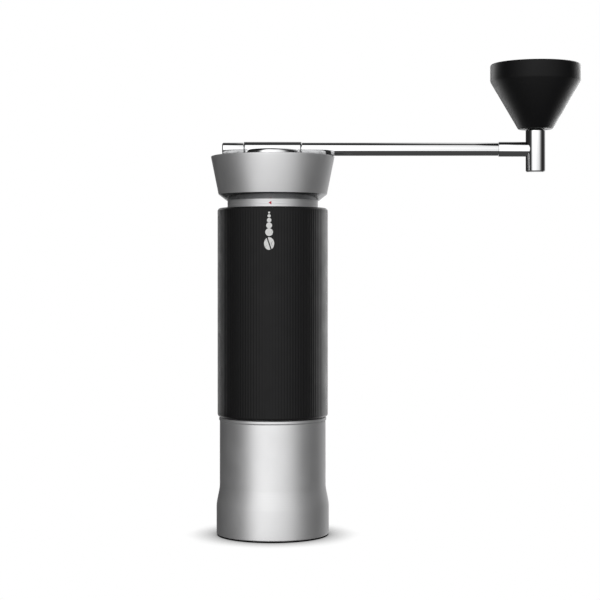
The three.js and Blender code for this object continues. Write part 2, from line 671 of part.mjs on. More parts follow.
// The knob post: an upright with a cross ferrule for the arm and a thinner spindle that the knob turns on.
const POST_RADIUS = 5.0;
const POST_BOTTOM_Z = 183.8;
const POST_TOP_Z = KNOB_BOTTOM_Z - 0.4;
const SPINDLE_RADIUS = 3.0;
const SPINDLE_TOP_Z = 227.6;
const KNOB_SCREW_END_Z = 218.0;
const FERRULE_RADIUS = 3.76;
function knobPost() {
  const upright = turned(
    [
      [0, POST_BOTTOM_Z],
      [POST_RADIUS - 0.8, POST_BOTTOM_Z],
      [POST_RADIUS, POST_BOTTOM_Z + 0.8],
      [POST_RADIUS, POST_TOP_Z - 0.6],
      [POST_RADIUS - 0.6, POST_TOP_Z],
      [SPINDLE_RADIUS, POST_TOP_Z],
      [SPINDLE_RADIUS, SPINDLE_TOP_Z],
      [SCREW_RADIUS + GAP, SPINDLE_TOP_Z],
      [SCREW_RADIUS + GAP, KNOB_SCREW_END_Z - GAP],
      [0, KNOB_SCREW_END_Z - GAP],
    ],
    SMALL,
  ).translate([CRANK_THROW, 0, 0]);
  const ferrule = barAlongX(FERRULE_RADIUS, FERRULE_START, CRANK_THROW, ARM_Z);
  const bore = barAlongX(TENON_RADIUS + GAP, FERRULE_START - 1, FERRULE_START + 9 + GAP, ARM_Z);
  return upright.add(ferrule).subtract(bore);
}
place("knob_post", knobPost(), CHROME);

// The knob: a moulded cone that runs on two bushes and is held by a screw and washer under its cap.
const KNOB_WAIST_RADIUS = 8.9;
const KNOB_BAND_Z = 230.0;
const KNOB_LIP_RADIUS = 3.6;
const KNOB_LIP_TOP_Z = 206.7;
const BUSH_RADIUS = 5.0;
const LOWER_BUSH_TOP_Z = 211.3;
const UPPER_BUSH_BOTTOM_Z = 221.9;
const UPPER_BUSH_TOP_Z = 227.3;
const SCREW_WELL_RADIUS = 7.0;
const CAP_RADIUS = 17.7;
const CAP_SEAT_Z = 235.9;
function knob() {
  const edge = 0.9;
  return turned([
    [KNOB_LIP_RADIUS, KNOB_BOTTOM_Z],
    [KNOB_WAIST_RADIUS, KNOB_BOTTOM_Z],
    [KNOB_RADIUS, KNOB_BAND_Z],
    ...bend([KNOB_RADIUS - edge, KNOB_TOP_Z - edge], edge, 0, 90, 2),
    [CAP_RADIUS + GAP, KNOB_TOP_Z],
    [CAP_RADIUS + GAP, CAP_SEAT_Z],
    [SCREW_WELL_RADIUS, CAP_SEAT_Z],
    [SCREW_WELL_RADIUS, UPPER_BUSH_TOP_Z + GAP],
    [BUSH_RADIUS + GAP, UPPER_BUSH_TOP_Z + GAP],
    [BUSH_RADIUS + GAP, UPPER_BUSH_BOTTOM_Z - GAP],
    [KNOB_LIP_RADIUS, UPPER_BUSH_BOTTOM_Z - GAP],
    [KNOB_LIP_RADIUS, LOWER_BUSH_TOP_Z + GAP],
    [BUSH_RADIUS + GAP, LOWER_BUSH_TOP_Z + GAP],
    [BUSH_RADIUS + GAP, KNOB_LIP_TOP_Z],
    [KNOB_LIP_RADIUS, KNOB_LIP_TOP_Z],
  ]);
}
const atKnob = (solid) => solid.translate([CRANK_THROW, 0, 0]);
const bush = (bottom, top) => atKnob(ring(SPINDLE_RADIUS + GAP, BUSH_RADIUS, bottom, top, SMALL));
place("knob_shell", atKnob(knob()), KNOB_PLASTIC);
place("knob_bush_lower", bush(KNOB_LIP_TOP_Z + GAP, LOWER_BUSH_TOP_Z), BRASS);
place("knob_bush_upper", bush(UPPER_BUSH_BOTTOM_Z, UPPER_BUSH_TOP_Z), BRASS);

const WASHER_Z = SPINDLE_TOP_Z + 0.4;
const WASHER_THICKNESS = 0.8;
const SCREW_HEAD_Z = WASHER_Z + WASHER_THICKNESS + GAP;
place("knob_washer", atKnob(ring(1.9, 6.2, WASHER_Z, WASHER_Z + WASHER_THICKNESS, SMALL)), STEEL);
const knobScrew = turned(
  [
    [0, KNOB_SCREW_END_Z],
    [SCREW_RADIUS, KNOB_SCREW_END_Z],
    [SCREW_RADIUS, SCREW_HEAD_Z],
    [3.6, SCREW_HEAD_Z],
    [3.6, SCREW_HEAD_Z + 1.9],
    [3.0, SCREW_HEAD_Z + 2.5],
    [0, SCREW_HEAD_Z + 2.5],
  ],
  TINY,
).subtract(hexagon(2.5, SCREW_HEAD_Z + 1.2, SCREW_HEAD_Z + 4));
place("knob_screw", atKnob(knobScrew), STEEL);
place(
  "knob_cap",
  atKnob(
    turned([
      [0, 233.4],
      [SCREW_WELL_RADIUS - GAP, 233.4],
      [SCREW_WELL_RADIUS - GAP, CAP_SEAT_Z + GAP],
      [CAP_RADIUS, CAP_SEAT_Z + GAP],
      [CAP_RADIUS, KNOB_TOP_Z - 0.2],
      [0, KNOB_TOP_Z - 0.2],
    ]),
  ),
  KNOB_PLASTIC,
);

// The lid hangs on the hub's neck and closes the hopper. A soft ring on its edge sits on the dial's ledge.
const LID_RADIUS = 26.9;
const LID_BOTTOM_Z = 188.2;
const LID_TOP_Z = DISC_BOTTOM_Z - 0.4;
const LID_BORE = HUB_NECK_RADIUS + GAP;
const LID_BOSS_RADIUS = 12.5;
const LID_GROOVE_RADIUS = 26.3;
place(
  "lid_plate",
  turned([
    [LID_BORE, LID_CLIP_Z + 1.0],
    [LID_BOSS_RADIUS, LID_CLIP_Z + 1.0],
    [LID_BOSS_RADIUS, LID_BOTTOM_Z],
    [LID_RADIUS, LID_BOTTOM_Z],
    [LID_RADIUS, 188.7],
    [LID_GROOVE_RADIUS, 188.7],
    [LID_GROOVE_RADIUS, 189.8],
    [LID_RADIUS, 189.8],
    [LID_RADIUS, LID_TOP_Z - 0.2],
    [LID_RADIUS - 0.2, LID_TOP_Z],
    [LID_BORE, LID_TOP_Z],
  ]),
  ANODISED,
);
place(
  "lid_seal",
  turned([
    [LID_GROOVE_RADIUS + GAP, 189.0],
    [MOUTH_RADIUS - 0.6, LEDGE_Z + GAP],
    [MOUTH_RADIUS - GAP, LEDGE_Z + GAP + 0.3],
    [MOUTH_RADIUS - GAP, 189.9],
    [LID_GROOVE_RADIUS + GAP, 189.5],
  ]),
  SILICONE,
);

export default grinder;
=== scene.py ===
"""A hand crank coffee grinder in a white studio: turned aluminium, a ribbed rubber grip and a chromed crank."""
import math

import bpy
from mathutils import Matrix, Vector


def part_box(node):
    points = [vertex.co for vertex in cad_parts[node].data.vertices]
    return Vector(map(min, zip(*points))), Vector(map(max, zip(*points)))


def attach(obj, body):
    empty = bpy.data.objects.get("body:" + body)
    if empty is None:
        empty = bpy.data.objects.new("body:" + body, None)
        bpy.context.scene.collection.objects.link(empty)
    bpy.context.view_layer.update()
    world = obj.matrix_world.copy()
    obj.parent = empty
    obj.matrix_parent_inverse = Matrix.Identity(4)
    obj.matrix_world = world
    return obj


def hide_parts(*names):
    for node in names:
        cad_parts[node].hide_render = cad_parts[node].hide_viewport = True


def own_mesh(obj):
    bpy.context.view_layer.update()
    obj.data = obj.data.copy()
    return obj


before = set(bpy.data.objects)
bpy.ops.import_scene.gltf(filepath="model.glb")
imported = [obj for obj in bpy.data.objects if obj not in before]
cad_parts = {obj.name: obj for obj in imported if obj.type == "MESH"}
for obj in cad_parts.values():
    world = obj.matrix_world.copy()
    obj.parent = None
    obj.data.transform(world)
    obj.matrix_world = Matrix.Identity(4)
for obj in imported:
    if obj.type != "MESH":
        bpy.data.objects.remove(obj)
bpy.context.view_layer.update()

# Studio
# The grinder stands on a white floor before a white wall. A tall soft panel behind the camera lights its front,
# and dark cloths at both sides draw the edges of the polished metal.
CAMERA_PLACE = (0.01385, -0.813, 0.1318)
LENS = 96
RISE = -0.0425
FLOOR_SIZE = 6
# Brightness round the object, by direction in degrees: 0 is towards the camera, and positive is to the right.
ROUND_LIGHT = [
    (-180, 0.14), (-165, 0.07), (-150, 0.02), (-100, 0.015), (-66, 0.03), (-56, 0.14), (-48, 0.62), (-40, 1.12),
    (-34, 1.25), (-16, 1.30), (6, 1.08), (34, 0.84), (46, 0.56), (58, 0.17), (72, 0.03), (100, 0.02), (118, 0.10),
    (138, 0.46), (160, 0.80), (180, 0.14),
]
# How much of it is seen at each height, in degrees above the horizon, and what the ceiling and floor add.
HEIGHT_SHARE = [
    (-90, 0.0), (-34, 0.0), (-25, 1.25), (-14, 1.12), (-7, 1.0), (2, 1.05), (14, 1.25), (30, 1.12), (67, 1.0),
    (74, 0.0), (90, 0.0),
]
HEIGHT_FILL = [(-90, 0.06), (-34, 0.07), (-24, 0.0), (67, 0.0), (74, 0.012), (90, 0.02)]
# The white wall straight behind the object, from nothing to full brightness, by how directly it is looked at.
WALL_EDGE = 0.93
WALL_MIDDLE = 0.97

bpy.ops.object.select_all(action="DESELECT")
bpy.ops.object.camera_add(location=CAMERA_PLACE, rotation=(math.pi / 2, 0, 0))
camera = bpy.context.object
camera.data.lens = LENS
camera.data.shift_y = RISE
camera.data.clip_start = 0.01
bpy.context.scene.camera = camera
bpy.context.scene.view_settings.view_transform = "Standard"


def node(tree, kind, inputs=None, **properties):
    """A shader node. Each input is a value, or the output of another node."""
    made = tree.nodes.new("ShaderNode" + kind)
    for name, value in properties.items():
        setattr(made, name, value)
    for name, value in (inputs or {}).items():
        if isinstance(value, bpy.types.NodeSocket):
            tree.links.new(value, made.inputs[name])
        else:
            made.inputs[name].default_value = value
    return made


def math_of(tree, operation, *values):
    """The result of a Math node."""
    return node(tree, "Math", dict(enumerate(values)), operation=operation).outputs[0]


def graph_of(tree, angle, full_turn, points):
    """A grey level read off a graph of (degrees, level) points, where angle is in radians."""
    share = math_of(tree, "MULTIPLY_ADD", angle, 1 / full_turn, 0.5)
    ramp = node(tree, "ValToRGB", {"Fac": share})
    stops = ramp.color_ramp.elements
    for i, (degrees, level) in enumerate(points):
        place = math.radians(degrees) / full_turn + 0.5
        stop = stops[i] if i < 2 else stops.new(place)
        stop.position = place
        stop.color = (level, level, level, 1)
    return ramp.outputs["Color"]


studio = bpy.data.worlds.new("studio")
bpy.context.scene.world = studio
studio.use_nodes = True
tree = studio.node_tree
tree.nodes.clear()
direction = node(tree, "SeparateXYZ", {0: node(tree, "TexCoord").outputs["Generated"]}).outputs
around = math_of(tree, "ARCTAN2", direction["X"], math_of(tree, "MULTIPLY", direction["Y"], -1))
height = math_of(tree, "ARCSINE", direction["Z"])
seen = math_of(
    tree,
    "MULTIPLY_ADD",
    graph_of(tree, around, 2 * math.pi, ROUND_LIGHT),
    graph_of(tree, height, math.pi, HEIGHT_SHARE),
    graph_of(tree, height, math.pi, HEIGHT_FILL),
)
wall = node(
    tree, "MapRange", {"Value": direction["Y"], "From Min": WALL_EDGE, "From Max": WALL_MIDDLE},
    interpolation_type="SMOOTHSTEP",
).outputs[0]
lit = math_of(tree, "MAXIMUM", seen, wall)
level = node(
    tree, "Mix", {"Factor": node(tree, "LightPath").outputs["Is Camera Ray"], "A": lit, "B": 1.0}
).outputs["Result"]
glow = node(tree, "Background", {"Color": level})
tree.links.new(glow.outputs[0], node(tree, "OutputWorld").inputs["Surface"])

# Two tall soft strips stand behind, left and right. They light only the black pieces, whose edges would be lost.
STRIP_DISTANCE = 1.1
STRIP_HEIGHT = 1.4
STRIPS = {"left": (-150, 0.42, 5.0), "right": (144, 0.80, 6.0)}  # direction in degrees, width and brightness
black_pieces = bpy.data.collections.new("black_pieces")
for side, (degrees, width, brightness) in STRIPS.items():
    angle = math.radians(degrees)
    bpy.ops.object.light_add(
        type="AREA",
        location=(STRIP_DISTANCE * math.sin(angle), -STRIP_DISTANCE * math.cos(angle), CAMERA_PLACE[2]),
        rotation=(math.pi / 2, 0, angle),
    )
    strip = bpy.context.object
    strip.name = "strip_" + side
    strip.visible_camera = False
    strip.data.shape = "RECTANGLE"
    strip.data.size, strip.data.size_y = width, STRIP_HEIGHT
    strip.data.energy = brightness * math.pi * width * STRIP_HEIGHT
    strip.light_linking.receiver_collection = black_pieces

# The floor is a clear sheet over the same white light, with a contact shadow painted into its colour where something
# stands on it. What goes below it stays in sight.
bpy.ops.mesh.primitive_plane_add(size=FLOOR_SIZE)
floor = bpy.context.object
floor.name = "studio_floor"
floor.visible_glossy = False
floor.visible_diffuse = False
floor_shadow_material = bpy.data.materials.new("floor_painted_contact_shadow")
floor_shadow_material.use_nodes = True
tree = floor_shadow_material.node_tree
tree.nodes.clear()
# Painted contact shadow: the sheet's colour darkens with ambient occlusion near whatever stands on it.
shade = node(tree, "AmbientOcclusion", {"Distance": 0.02}).outputs["AO"]
bright = node(tree, "MapRange", {"Value": shade, "From Min": 0.3, "From Max": 0.93}).outputs[0]
sheet = node(tree, "BsdfTransparent", {"Color": bright})
tree.links.new(sheet.outputs[0], node(tree, "OutputMaterial").inputs["Surface"])
floor.data.materials.append(floor_shadow_material)

# Catch cup
# A deep-drawn aluminium can on a widened foot, fine-blasted and clear anodised. It pulls off downwards, and
# magnets in the burr housing hold it by a steel ring pressed into its mouth.
MM = 0.001


def turned(name, outline, centre_x=0.0, facets=160):
    """A body of revolution about a line parallel to Z. A ring is drawn out along (radius, height) points, in
    millimetres, as on a lathe. It is hollow if the outline ends where it starts, and capped flat if not."""
    radius, height = outline[0]
    bpy.ops.object.select_all(action="DESELECT")
    bpy.ops.mesh.primitive_circle_add(vertices=facets, radius=radius * MM, location=(centre_x, 0, height * MM))
    piece = bpy.context.object
    piece.name = piece.data.name = name
    bpy.ops.object.transform_apply(rotation=False, scale=False)
    bpy.ops.object.mode_set(mode="EDIT")
    for next_radius, next_height in outline[1:]:
        bpy.ops.mesh.extrude_region_move(TRANSFORM_OT_translate={"value": (0, 0, (next_height - height) * MM)})
        grow = next_radius / radius
        bpy.ops.transform.resize(value=(grow, grow, 1), center_override=(centre_x, 0, next_height * MM))
        radius, height = next_radius, next_height
    bpy.ops.mesh.select_all(action="SELECT")
    bpy.ops.mesh.remove_doubles(threshold=1e-7)
    bpy.ops.mesh.fill_holes(sides=0)
    bpy.ops.mesh.select_all(action="SELECT")
    bpy.ops.mesh.normals_make_consistent(inside=False)
    bpy.ops.object.mode_set(mode="OBJECT")
    return piece


def arc(centre, radius, start, end, steps=6):
    """Points of a round stretch of an outline, between two angles in degrees."""
    angles = [math.radians(start + (end - start) * i / steps) for i in range(steps + 1)]
    return [(centre[0] + radius * math.cos(a), centre[1] + radius * math.sin(a)) for a in angles]


def modified(piece, kind, **settings):
    """The piece with a modifier applied."""
    modifier = piece.modifiers.new(kind, kind)
    for name, value in settings.items():
        setattr(modifier, name, value)
    bpy.context.view_layer.objects.active = piece
    bpy.ops.object.modifier_apply(modifier=modifier.name)
    return piece


def softened(piece, width, segments=3, sharper_than=35):
    """The piece with its sharp edges rounded over, as tumbling, blasting or moulding leaves them."""
    return modified(
        piece, "BEVEL", width=width * MM, segments=segments,
        limit_method="ANGLE", angle_limit=math.radians(sharper_than),
    )


def fitted(piece, finish, body, slot, *nodes):
    """A finished piece takes its surface, moves with its body, and hides the solids it stands for."""
    bpy.ops.object.select_all(action="DESELECT")
    piece.select_set(True)
    bpy.context.view_layer.objects.active = piece
    bpy.ops.object.shade_smooth_by_angle(angle=math.radians(30))
    piece.data.materials.clear()
    piece.data.materials.append(finish)
    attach(piece, body)
    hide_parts(*nodes)
    return piece


def new_group(name, inputs, outputs):
    """A shader node group with float inputs (name: start value) and float outputs, and its two end nodes."""
    group = bpy.data.node_groups.new(name, "ShaderNodeTree")
    for label, value in inputs.items():
        group.interface.new_socket(label, in_out="INPUT", socket_type="NodeSocketFloat").default_value = value
    for label in outputs:
        group.interface.new_socket(label, in_out="OUTPUT", socket_type="NodeSocketFloat")
    return group, group.nodes.new("NodeGroupInput").outputs, group.nodes.new("NodeGroupOutput").inputs


def use(tree, group, **values):
    """A node group placed in a material, with its own values."""
    placed = tree.nodes.new("ShaderNodeGroup")
    placed.node_tree = group
    for label, value in values.items():
        placed.inputs[label.replace("_", " ")].default_value = value
    return placed.outputs


# Turning lines run round whatever was cut on a lathe, on its sides and on its flat faces alike.
turning_lines, given, gives = new_group("turning_lines", {"Centre X": 0.0, "Lines per mm": 6.0}, ["Lines"])
place = node(turning_lines, "SeparateXYZ", {0: node(turning_lines, "TexCoord").outputs["Object"]}).outputs
off_axis = math_of(turning_lines, "SUBTRACT", place["X"], given["Centre X"])
radius = math_of(
    turning_lines,
    "SQRT",
    math_of(turning_lines, "ADD", math_of(turning_lines, "POWER", off_axis, 2.0),
            math_of(turning_lines, "POWER", place["Y"], 2.0)),
)
along = math_of(turning_lines, "MULTIPLY", math_of(turning_lines, "ADD", radius, place["Z"]), 1000.0)
lines = node(
    turning_lines, "TexNoise",
    {"W": math_of(turning_lines, "MULTIPLY", along, given["Lines per mm"]), "Scale": 1.0, "Detail": 3.0},
    noise_dimensions="1D",
)
turning_lines.links.new(lines.outputs["Fac"], gives["Lines"])

# Fine grain is the pitting that blasting, moulding or casting leaves, given as the size of its pits.
fine_grain, given, gives = new_group("fine_grain", {"Pit mm": 0.2}, ["Grain"])
pits = node(
    fine_grain, "TexNoise",
    {"Vector": node(fine_grain, "TexCoord").outputs["Object"],
     "Scale": math_of(fine_grain, "DIVIDE", 1000.0, given["Pit mm"]), "Detail": 3.0, "Roughness": 0.6},
)
fine_grain.links.new(pits.outputs["Fac"], gives["Grain"])

# Handling is the slow change in gloss that fingers and wiping leave on any surface.
handling, given, gives = new_group("handling", {"Patch mm": 12.0}, ["Gloss"])
patches = node(
    handling, "TexNoise",
    {"Vector": node(handling, "TexCoord").outputs["Object"],
     "Scale": math_of(handling, "DIVIDE", 1000.0, given["Patch mm"]), "Detail": 4.0, "Distortion": 0.6},
)
spread = node(handling, "MapRange", {"Value": patches.outputs["Fac"], "From Min": 0.3, "From Max": 0.7})
handling.links.new(spread.outputs[0], gives["Gloss"])

# Edge wear brightens the outer edges, where a finish is rubbed.
edge_wear, given, gives = new_group("edge_wear", {"Amount": 0.5}, ["Wear"])
sharpness = node(
    edge_wear, "MapRange",
    {"Value": node(edge_wear, "NewGeometry").outputs["Pointiness"], "From Min": 0.51, "From Max": 0.58},
)
broken = node(
    edge_wear, "TexNoise",
    {"Vector": node(edge_wear, "TexCoord").outputs["Object"], "Scale": 900.0, "Detail": 4.0},
)
edge_wear.links.new(
    math_of(
        edge_wear, "MULTIPLY",
        math_of(edge_wear, "MULTIPLY", sharpness.outputs[0], broken.outputs["Fac"]), given["Amount"],
    ),
    gives["Wear"],
)


def metal(name, colour, gloss, lines_per_mm, line_depth, pit, pit_depth, wear=0.5, metallic=1.0, centre_x=0.0):
    """A metal with a roughness range, turning lines and blasted pits (depths in micrometres), and worn edges."""
    made = bpy.data.materials.new(name)
    made.use_nodes = True
    tree = made.node_tree
    shader = tree.nodes["Principled BSDF"]
    lines = use(tree, turning_lines, Centre_X=centre_x, Lines_per_mm=lines_per_mm)["Lines"]
    grain = use(tree, fine_grain, Pit_mm=pit)["Grain"]
    rubbed = use(tree, handling)["Gloss"]
    worn = use(tree, edge_wear, Amount=wear)["Wear"]
    streaks = node(
        tree, "MapRange", {"Value": lines, "From Min": 0.2, "From Max": 0.8, "To Min": 0.94, "To Max": 1.0}
    )
    tone = math_of(tree, "ADD", streaks.outputs[0], math_of(tree, "MULTIPLY", worn, 0.25))
    tint = node(tree, "VectorMath", {0: colour, "Scale": tone}, operation="SCALE")
    tree.links.new(tint.outputs[0], shader.inputs["Base Color"])
    low, high = gloss
    rough = node(tree, "MapRange", {"Value": rubbed, "To Min": low, "To Max": high})
    speckled = math_of(tree, "MULTIPLY_ADD", grain, 0.25 * (high - low), rough.outputs[0])
    tree.links.new(math_of(tree, "MULTIPLY_ADD", worn, -0.3 * low, speckled), shader.inputs["Roughness"])
    relief = math_of(
        tree, "ADD",
        math_of(tree, "MULTIPLY", lines, line_depth * 1e-6), math_of(tree, "MULTIPLY", grain, pit_depth * 1e-6),
    )
    bump = node(tree, "Bump", {"Strength": 1.0, "Distance": 1.0, "Height": relief})
    tree.links.new(bump.outputs[0], shader.inputs["Normal"])
    shader.inputs["Metallic"].default_value = metallic
    return made


SATIN_ALUMINIUM = metal(
    "satin_aluminium", (0.80, 0.80, 0.805), (0.42, 0.48), 5.0, 0.35, 0.16, 1.2, metallic=0.80
)
PLAIN_STEEL = metal("plain_steel", (0.58, 0.58, 0.59), (0.24, 0.34), 8.0, 0.5, 0.3, 0.6)

DUST = (0.55, 0.54, 0.53, 1)


def moulded(name, colour, gloss, pit, pit_depth, wear=0.3, dust=0.02, specular=0.5):
    """A moulded rubber or plastic with a roughness range, a fine grain and a trace of dust in its hollows."""
    made = bpy.data.materials.new(name)
    made.use_nodes = True
    tree = made.node_tree
    shader = tree.nodes["Principled BSDF"]
    grain = use(tree, fine_grain, Pit_mm=pit)["Grain"]
    rubbed = use(tree, handling, Patch_mm=9.0)["Gloss"]
    worn = use(tree, edge_wear, Amount=wear)["Wear"]
    pale = math_of(tree, "ADD", math_of(tree, "MULTIPLY", grain, dust), math_of(tree, "MULTIPLY", worn, 0.02))
    tint = node(tree, "Mix", {0: pale, 6: (*colour, 1), 7: DUST}, data_type="RGBA")
    tree.links.new(tint.outputs[2], shader.inputs["Base Color"])
    low, high = gloss
    rough = node(tree, "MapRange", {"Value": rubbed, "To Min": low, "To Max": high})
    tree.links.new(math_of(tree, "MULTIPLY_ADD", grain, 0.1, rough.outputs[0]), shader.inputs["Roughness"])
    bump = node(
        tree, "Bump", {"Strength": 1.0, "Distance": 1.0, "Height": math_of(tree, "MULTIPLY", grain, pit_depth * 1e-6)}
    )
    tree.links.new(bump.outputs[0], shader.inputs["Normal"])
    shader.inputs["Specular IOR Level"].default_value = specular
    return made


SILICONE = moulded("silicone", (0.03, 0.03, 0.032), (0.55, 0.68), 0.25, 6.0)

cup_low, cup_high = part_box("cup_shell")
foot_radius = cup_high.x / MM
cup_bottom, cup_top = cup_low.z / MM, cup_high.z / MM
CUP_RADIUS = 26.85
FLARE_START, FLARE_END = 15.0, 25.2
FLARE_STEPS = 14
flare = []
for i in range(FLARE_STEPS + 1):
    share = i / FLARE_STEPS
    eased = 0.55 * share * share * (3 - 2 * share) + 0.45 * share
    flare.append((foot_radius + (CUP_RADIUS - foot_radius) * eased, FLARE_START + (FLARE_END - FLARE_START) * share))
cup = turned("catch_cup", [
    (25.3, 1.9), (25.3, cup_bottom + 0.1), (foot_radius - 0.5, cup_bottom),
    *arc((foot_radius - 0.5, cup_bottom + 0.5), 0.5, -80, 0, 4), *flare,
    (CUP_RADIUS, cup_top - 0.3), (CUP_RADIUS - 0.3, cup_top), (25.65, cup_top), (25.65, 50.2),
    (24.65, 50.2), *arc((22.65, 5.6), 2.0, 0, -90),
])
fitted(softened(cup, 0.1), SATIN_ALUMINIUM, "cup", "aluminium", "cup_shell")

keeper = turned("cup_keeper", [
    (24.75, 50.9), (25.05, 50.5), (25.35, 50.5), (25.35, 57.6), (25.05, 57.6), (24.75, 57.3), (24.75, 50.9),
])
fitted(softened(keeper, 0.08), PLAIN_STEEL, "cup", "steel", "cup_keeper_ring")

# The pad is moulded with four rings that grip the table.
pad_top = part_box("foot_pad")[1].z / MM
PAD_RINGS = [23.0, 19.0, 15.0, 11.0]
pad = turned("cup_foot_pad", [
    (24.2, 0.0), (24.7, 0.3), (24.9, pad_top), (1.0, pad_top), (1.0, 0.3),
    *[point for ring in reversed(PAD_RINGS) for point in ((ring - 1, 0.3), (ring - 0.8, 0.0), (ring + 0.8, 0.0),
                                                          (ring + 1, 0.3))],
    (24.2, 0.0),
])
fitted(softened(pad, 0.08), SILICONE, "cup", "silicone", "foot_pad")

# Barrel
# One aluminium tube is bored through, stepped in at the neck, cut with two fine rings there, and drilled for the
# bridge screws and the guide pin. The red index mark is paint in a shallow engraving.
grip_low, grip_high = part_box("grip_sleeve")
shoulder = grip_high.z / MM - 0.3
NECK_RADIUS = 22.95
neck_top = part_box("body_tube")[1].z / MM
BORE_RADIUS, SPIGOT_BORE, TUBE_BOTTOM = 20.5, 24.3, 59.8
SCREW_HOLE, SCREW_SEAT, PIN_HOLE = 1.8, 2.9, 1.3
SPOKE_ANGLES = [60, 180, 300]
SCREW_HEIGHT = 99.0
PIN_ANGLE, PIN_HEIGHT = 120, 172.5


def groove(radius, height, width=0.24, depth=0.12):
    """Outline points of a fine V-shaped ring cut into a cylinder."""
    return [(radius, height - width / 2), (radius - depth, height), (radius, height + width / 2)]


def joined(piece, other, operation):
    """A piece with another added to it, cut out of it or used to trim it."""
    modified(piece, "BOOLEAN", object=other, operation=operation, solver="EXACT")
    bpy.data.objects.remove(other)
    return piece


def rod(name, radius, start, end, height, degrees=0.0, facets=32):
    """A level rod that points away from the axis, from one radius to another, in a direction in degrees."""
    angle = math.radians(degrees)
    middle = (start + end) / 2 * MM
    bpy.ops.object.select_all(action="DESELECT")
    bpy.ops.mesh.primitive_cylinder_add(
        vertices=facets, radius=radius * MM, depth=(end - start) * MM,
        location=(middle * math.cos(angle), middle * math.sin(angle), height * MM), rotation=(0, math.pi / 2, angle),
    )
    made = bpy.context.object
    made.name = made.data.name = name
    bpy.ops.object.transform_apply()
    return made


barrel = turned("barrel_tube", [
    (SPIGOT_BORE, TUBE_BOTTOM), (25.8, TUBE_BOTTOM), (25.8, shoulder), (NECK_RADIUS, shoulder),
    *groove(NECK_RADIUS, 166.8), *groove(NECK_RADIUS, 168.1),
    (NECK_RADIUS, neck_top - 0.4), (NECK_RADIUS - 0.4, neck_top), (BORE_RADIUS, neck_top), (BORE_RADIUS, 84.0),
    (SPIGOT_BORE, 84.0), (SPIGOT_BORE, TUBE_BOTTOM),
])
for degrees in SPOKE_ANGLES:
    joined(barrel, rod("drill", SCREW_HOLE, 18, 30, SCREW_HEIGHT, degrees), "DIFFERENCE")
    joined(barrel, rod("counterbore", SCREW_SEAT, 23.9, 30, SCREW_HEIGHT, degrees), "DIFFERENCE")
joined(barrel, rod("drill", PIN_HOLE, 18, 30, PIN_HEIGHT, PIN_ANGLE), "DIFFERENCE")
fitted(softened(barrel, 0.1), SATIN_ALUMINIUM, "barrel", "aluminium", "body_tube")

PIN_RADIUS = 1.0
guide_pin = rod("guide_pin", PIN_RADIUS, 18.65, NECK_RADIUS - 0.45, PIN_HEIGHT, PIN_ANGLE)
fitted(softened(guide_pin, 0.2), PLAIN_STEEL, "barrel", "steel", "carrier_guide_pin")

RED_PAINT = moulded("red_paint", (0.50, 0.004, 0.022), (0.30, 0.42), 0.3, 2.0, dust=0.01)
INDEX_CENTRE, INDEX_HEIGHT, INDEX_SIZE, INDEX_DEPTH = -0.75, 167.3, 1.0, 0.16
bpy.ops.object.select_all(action="DESELECT")
bpy.ops.mesh.primitive_cylinder_add(
    vertices=3, radius=INDEX_SIZE * MM, depth=INDEX_DEPTH * MM,
    location=(INDEX_CENTRE * MM, -(NECK_RADIUS - 0.03) * MM, INDEX_HEIGHT * MM),
    rotation=(math.pi / 2, -math.pi / 2, 0),
)
index_mark = bpy.context.object
index_mark.name = index_mark.data.name = "neck_index_mark"
bpy.ops.object.transform_apply()
fitted(softened(index_mark, 0.04), RED_PAINT, "barrel", "aluminium")

# Grip
# A moulded rubber sleeve with fine upright ribs all round and plain rounded ends. It is stretched over the tube.
# A bean and a row of grains, from fine to coarse, are printed on its front in white.
GRIP_RUBBER = moulded("grip_rubber", (0.006, 0.006, 0.0065), (0.46, 0.54), 0.3, 4.0, dust=0.008, specular=0.24)
RIBS = 120
POINTS_PER_RIB = 6
RIB_DEPTH = 0.10
grip_radius = grip_high.x / MM
grip_bottom, grip_top = grip_low.z / MM, grip_high.z / MM
END_RADIUS = 1.5
SLEEVE_BORE = 26.1
grip = turned("ribbed_grip", [
    (SLEEVE_BORE, grip_bottom), *arc((grip_radius - END_RADIUS, grip_bottom + END_RADIUS), END_RADIUS, -85, 0),
    *arc((grip_radius - END_RADIUS, grip_top - END_RADIUS), END_RADIUS, 0, 85), (SLEEVE_BORE, grip_top),
    (SLEEVE_BORE, grip_bottom),
], facets=RIBS * POINTS_PER_RIB)


def only_this(piece):
    """Selects one piece and nothing else, in object mode."""
    bpy.ops.object.select_all(action="DESELECT")
    piece.select_set(True)
    bpy.context.view_layer.objects.active = piece
    return piece


def pick_points(piece, wanted):
    """Goes into edit mode with the points selected that a test of the radius, angle and height asks for."""
    only_this(piece)
    bpy.ops.object.mode_set(mode="EDIT")
    bpy.ops.mesh.select_mode(type="VERT")
    bpy.ops.mesh.select_all(action="DESELECT")
    bpy.ops.object.mode_set(mode="OBJECT")
    for point in piece.data.vertices:
        x, y, z = point.co / MM
        point.select = wanted(math.hypot(x, y), math.atan2(y, x), z)
    bpy.ops.object.mode_set(mode="EDIT")


rib_angle = 2 * math.pi / RIBS
pick_points(grip, lambda radius, angle, height: (
    0.3 < (angle / rib_angle) % 1 < 0.7
    and radius > grip_radius - END_RADIUS
    and grip_bottom + 0.9 < height < grip_top - 0.9
))
shrink = 1 - RIB_DEPTH / grip_radius
bpy.ops.transform.resize(value=(shrink, shrink, 1), center_override=(0, 0, 0))
bpy.ops.object.mode_set(mode="OBJECT")
fitted(grip, GRIP_RUBBER, "barrel", "grip_rubber", "grip_sleeve")
black_pieces.objects.link(grip)

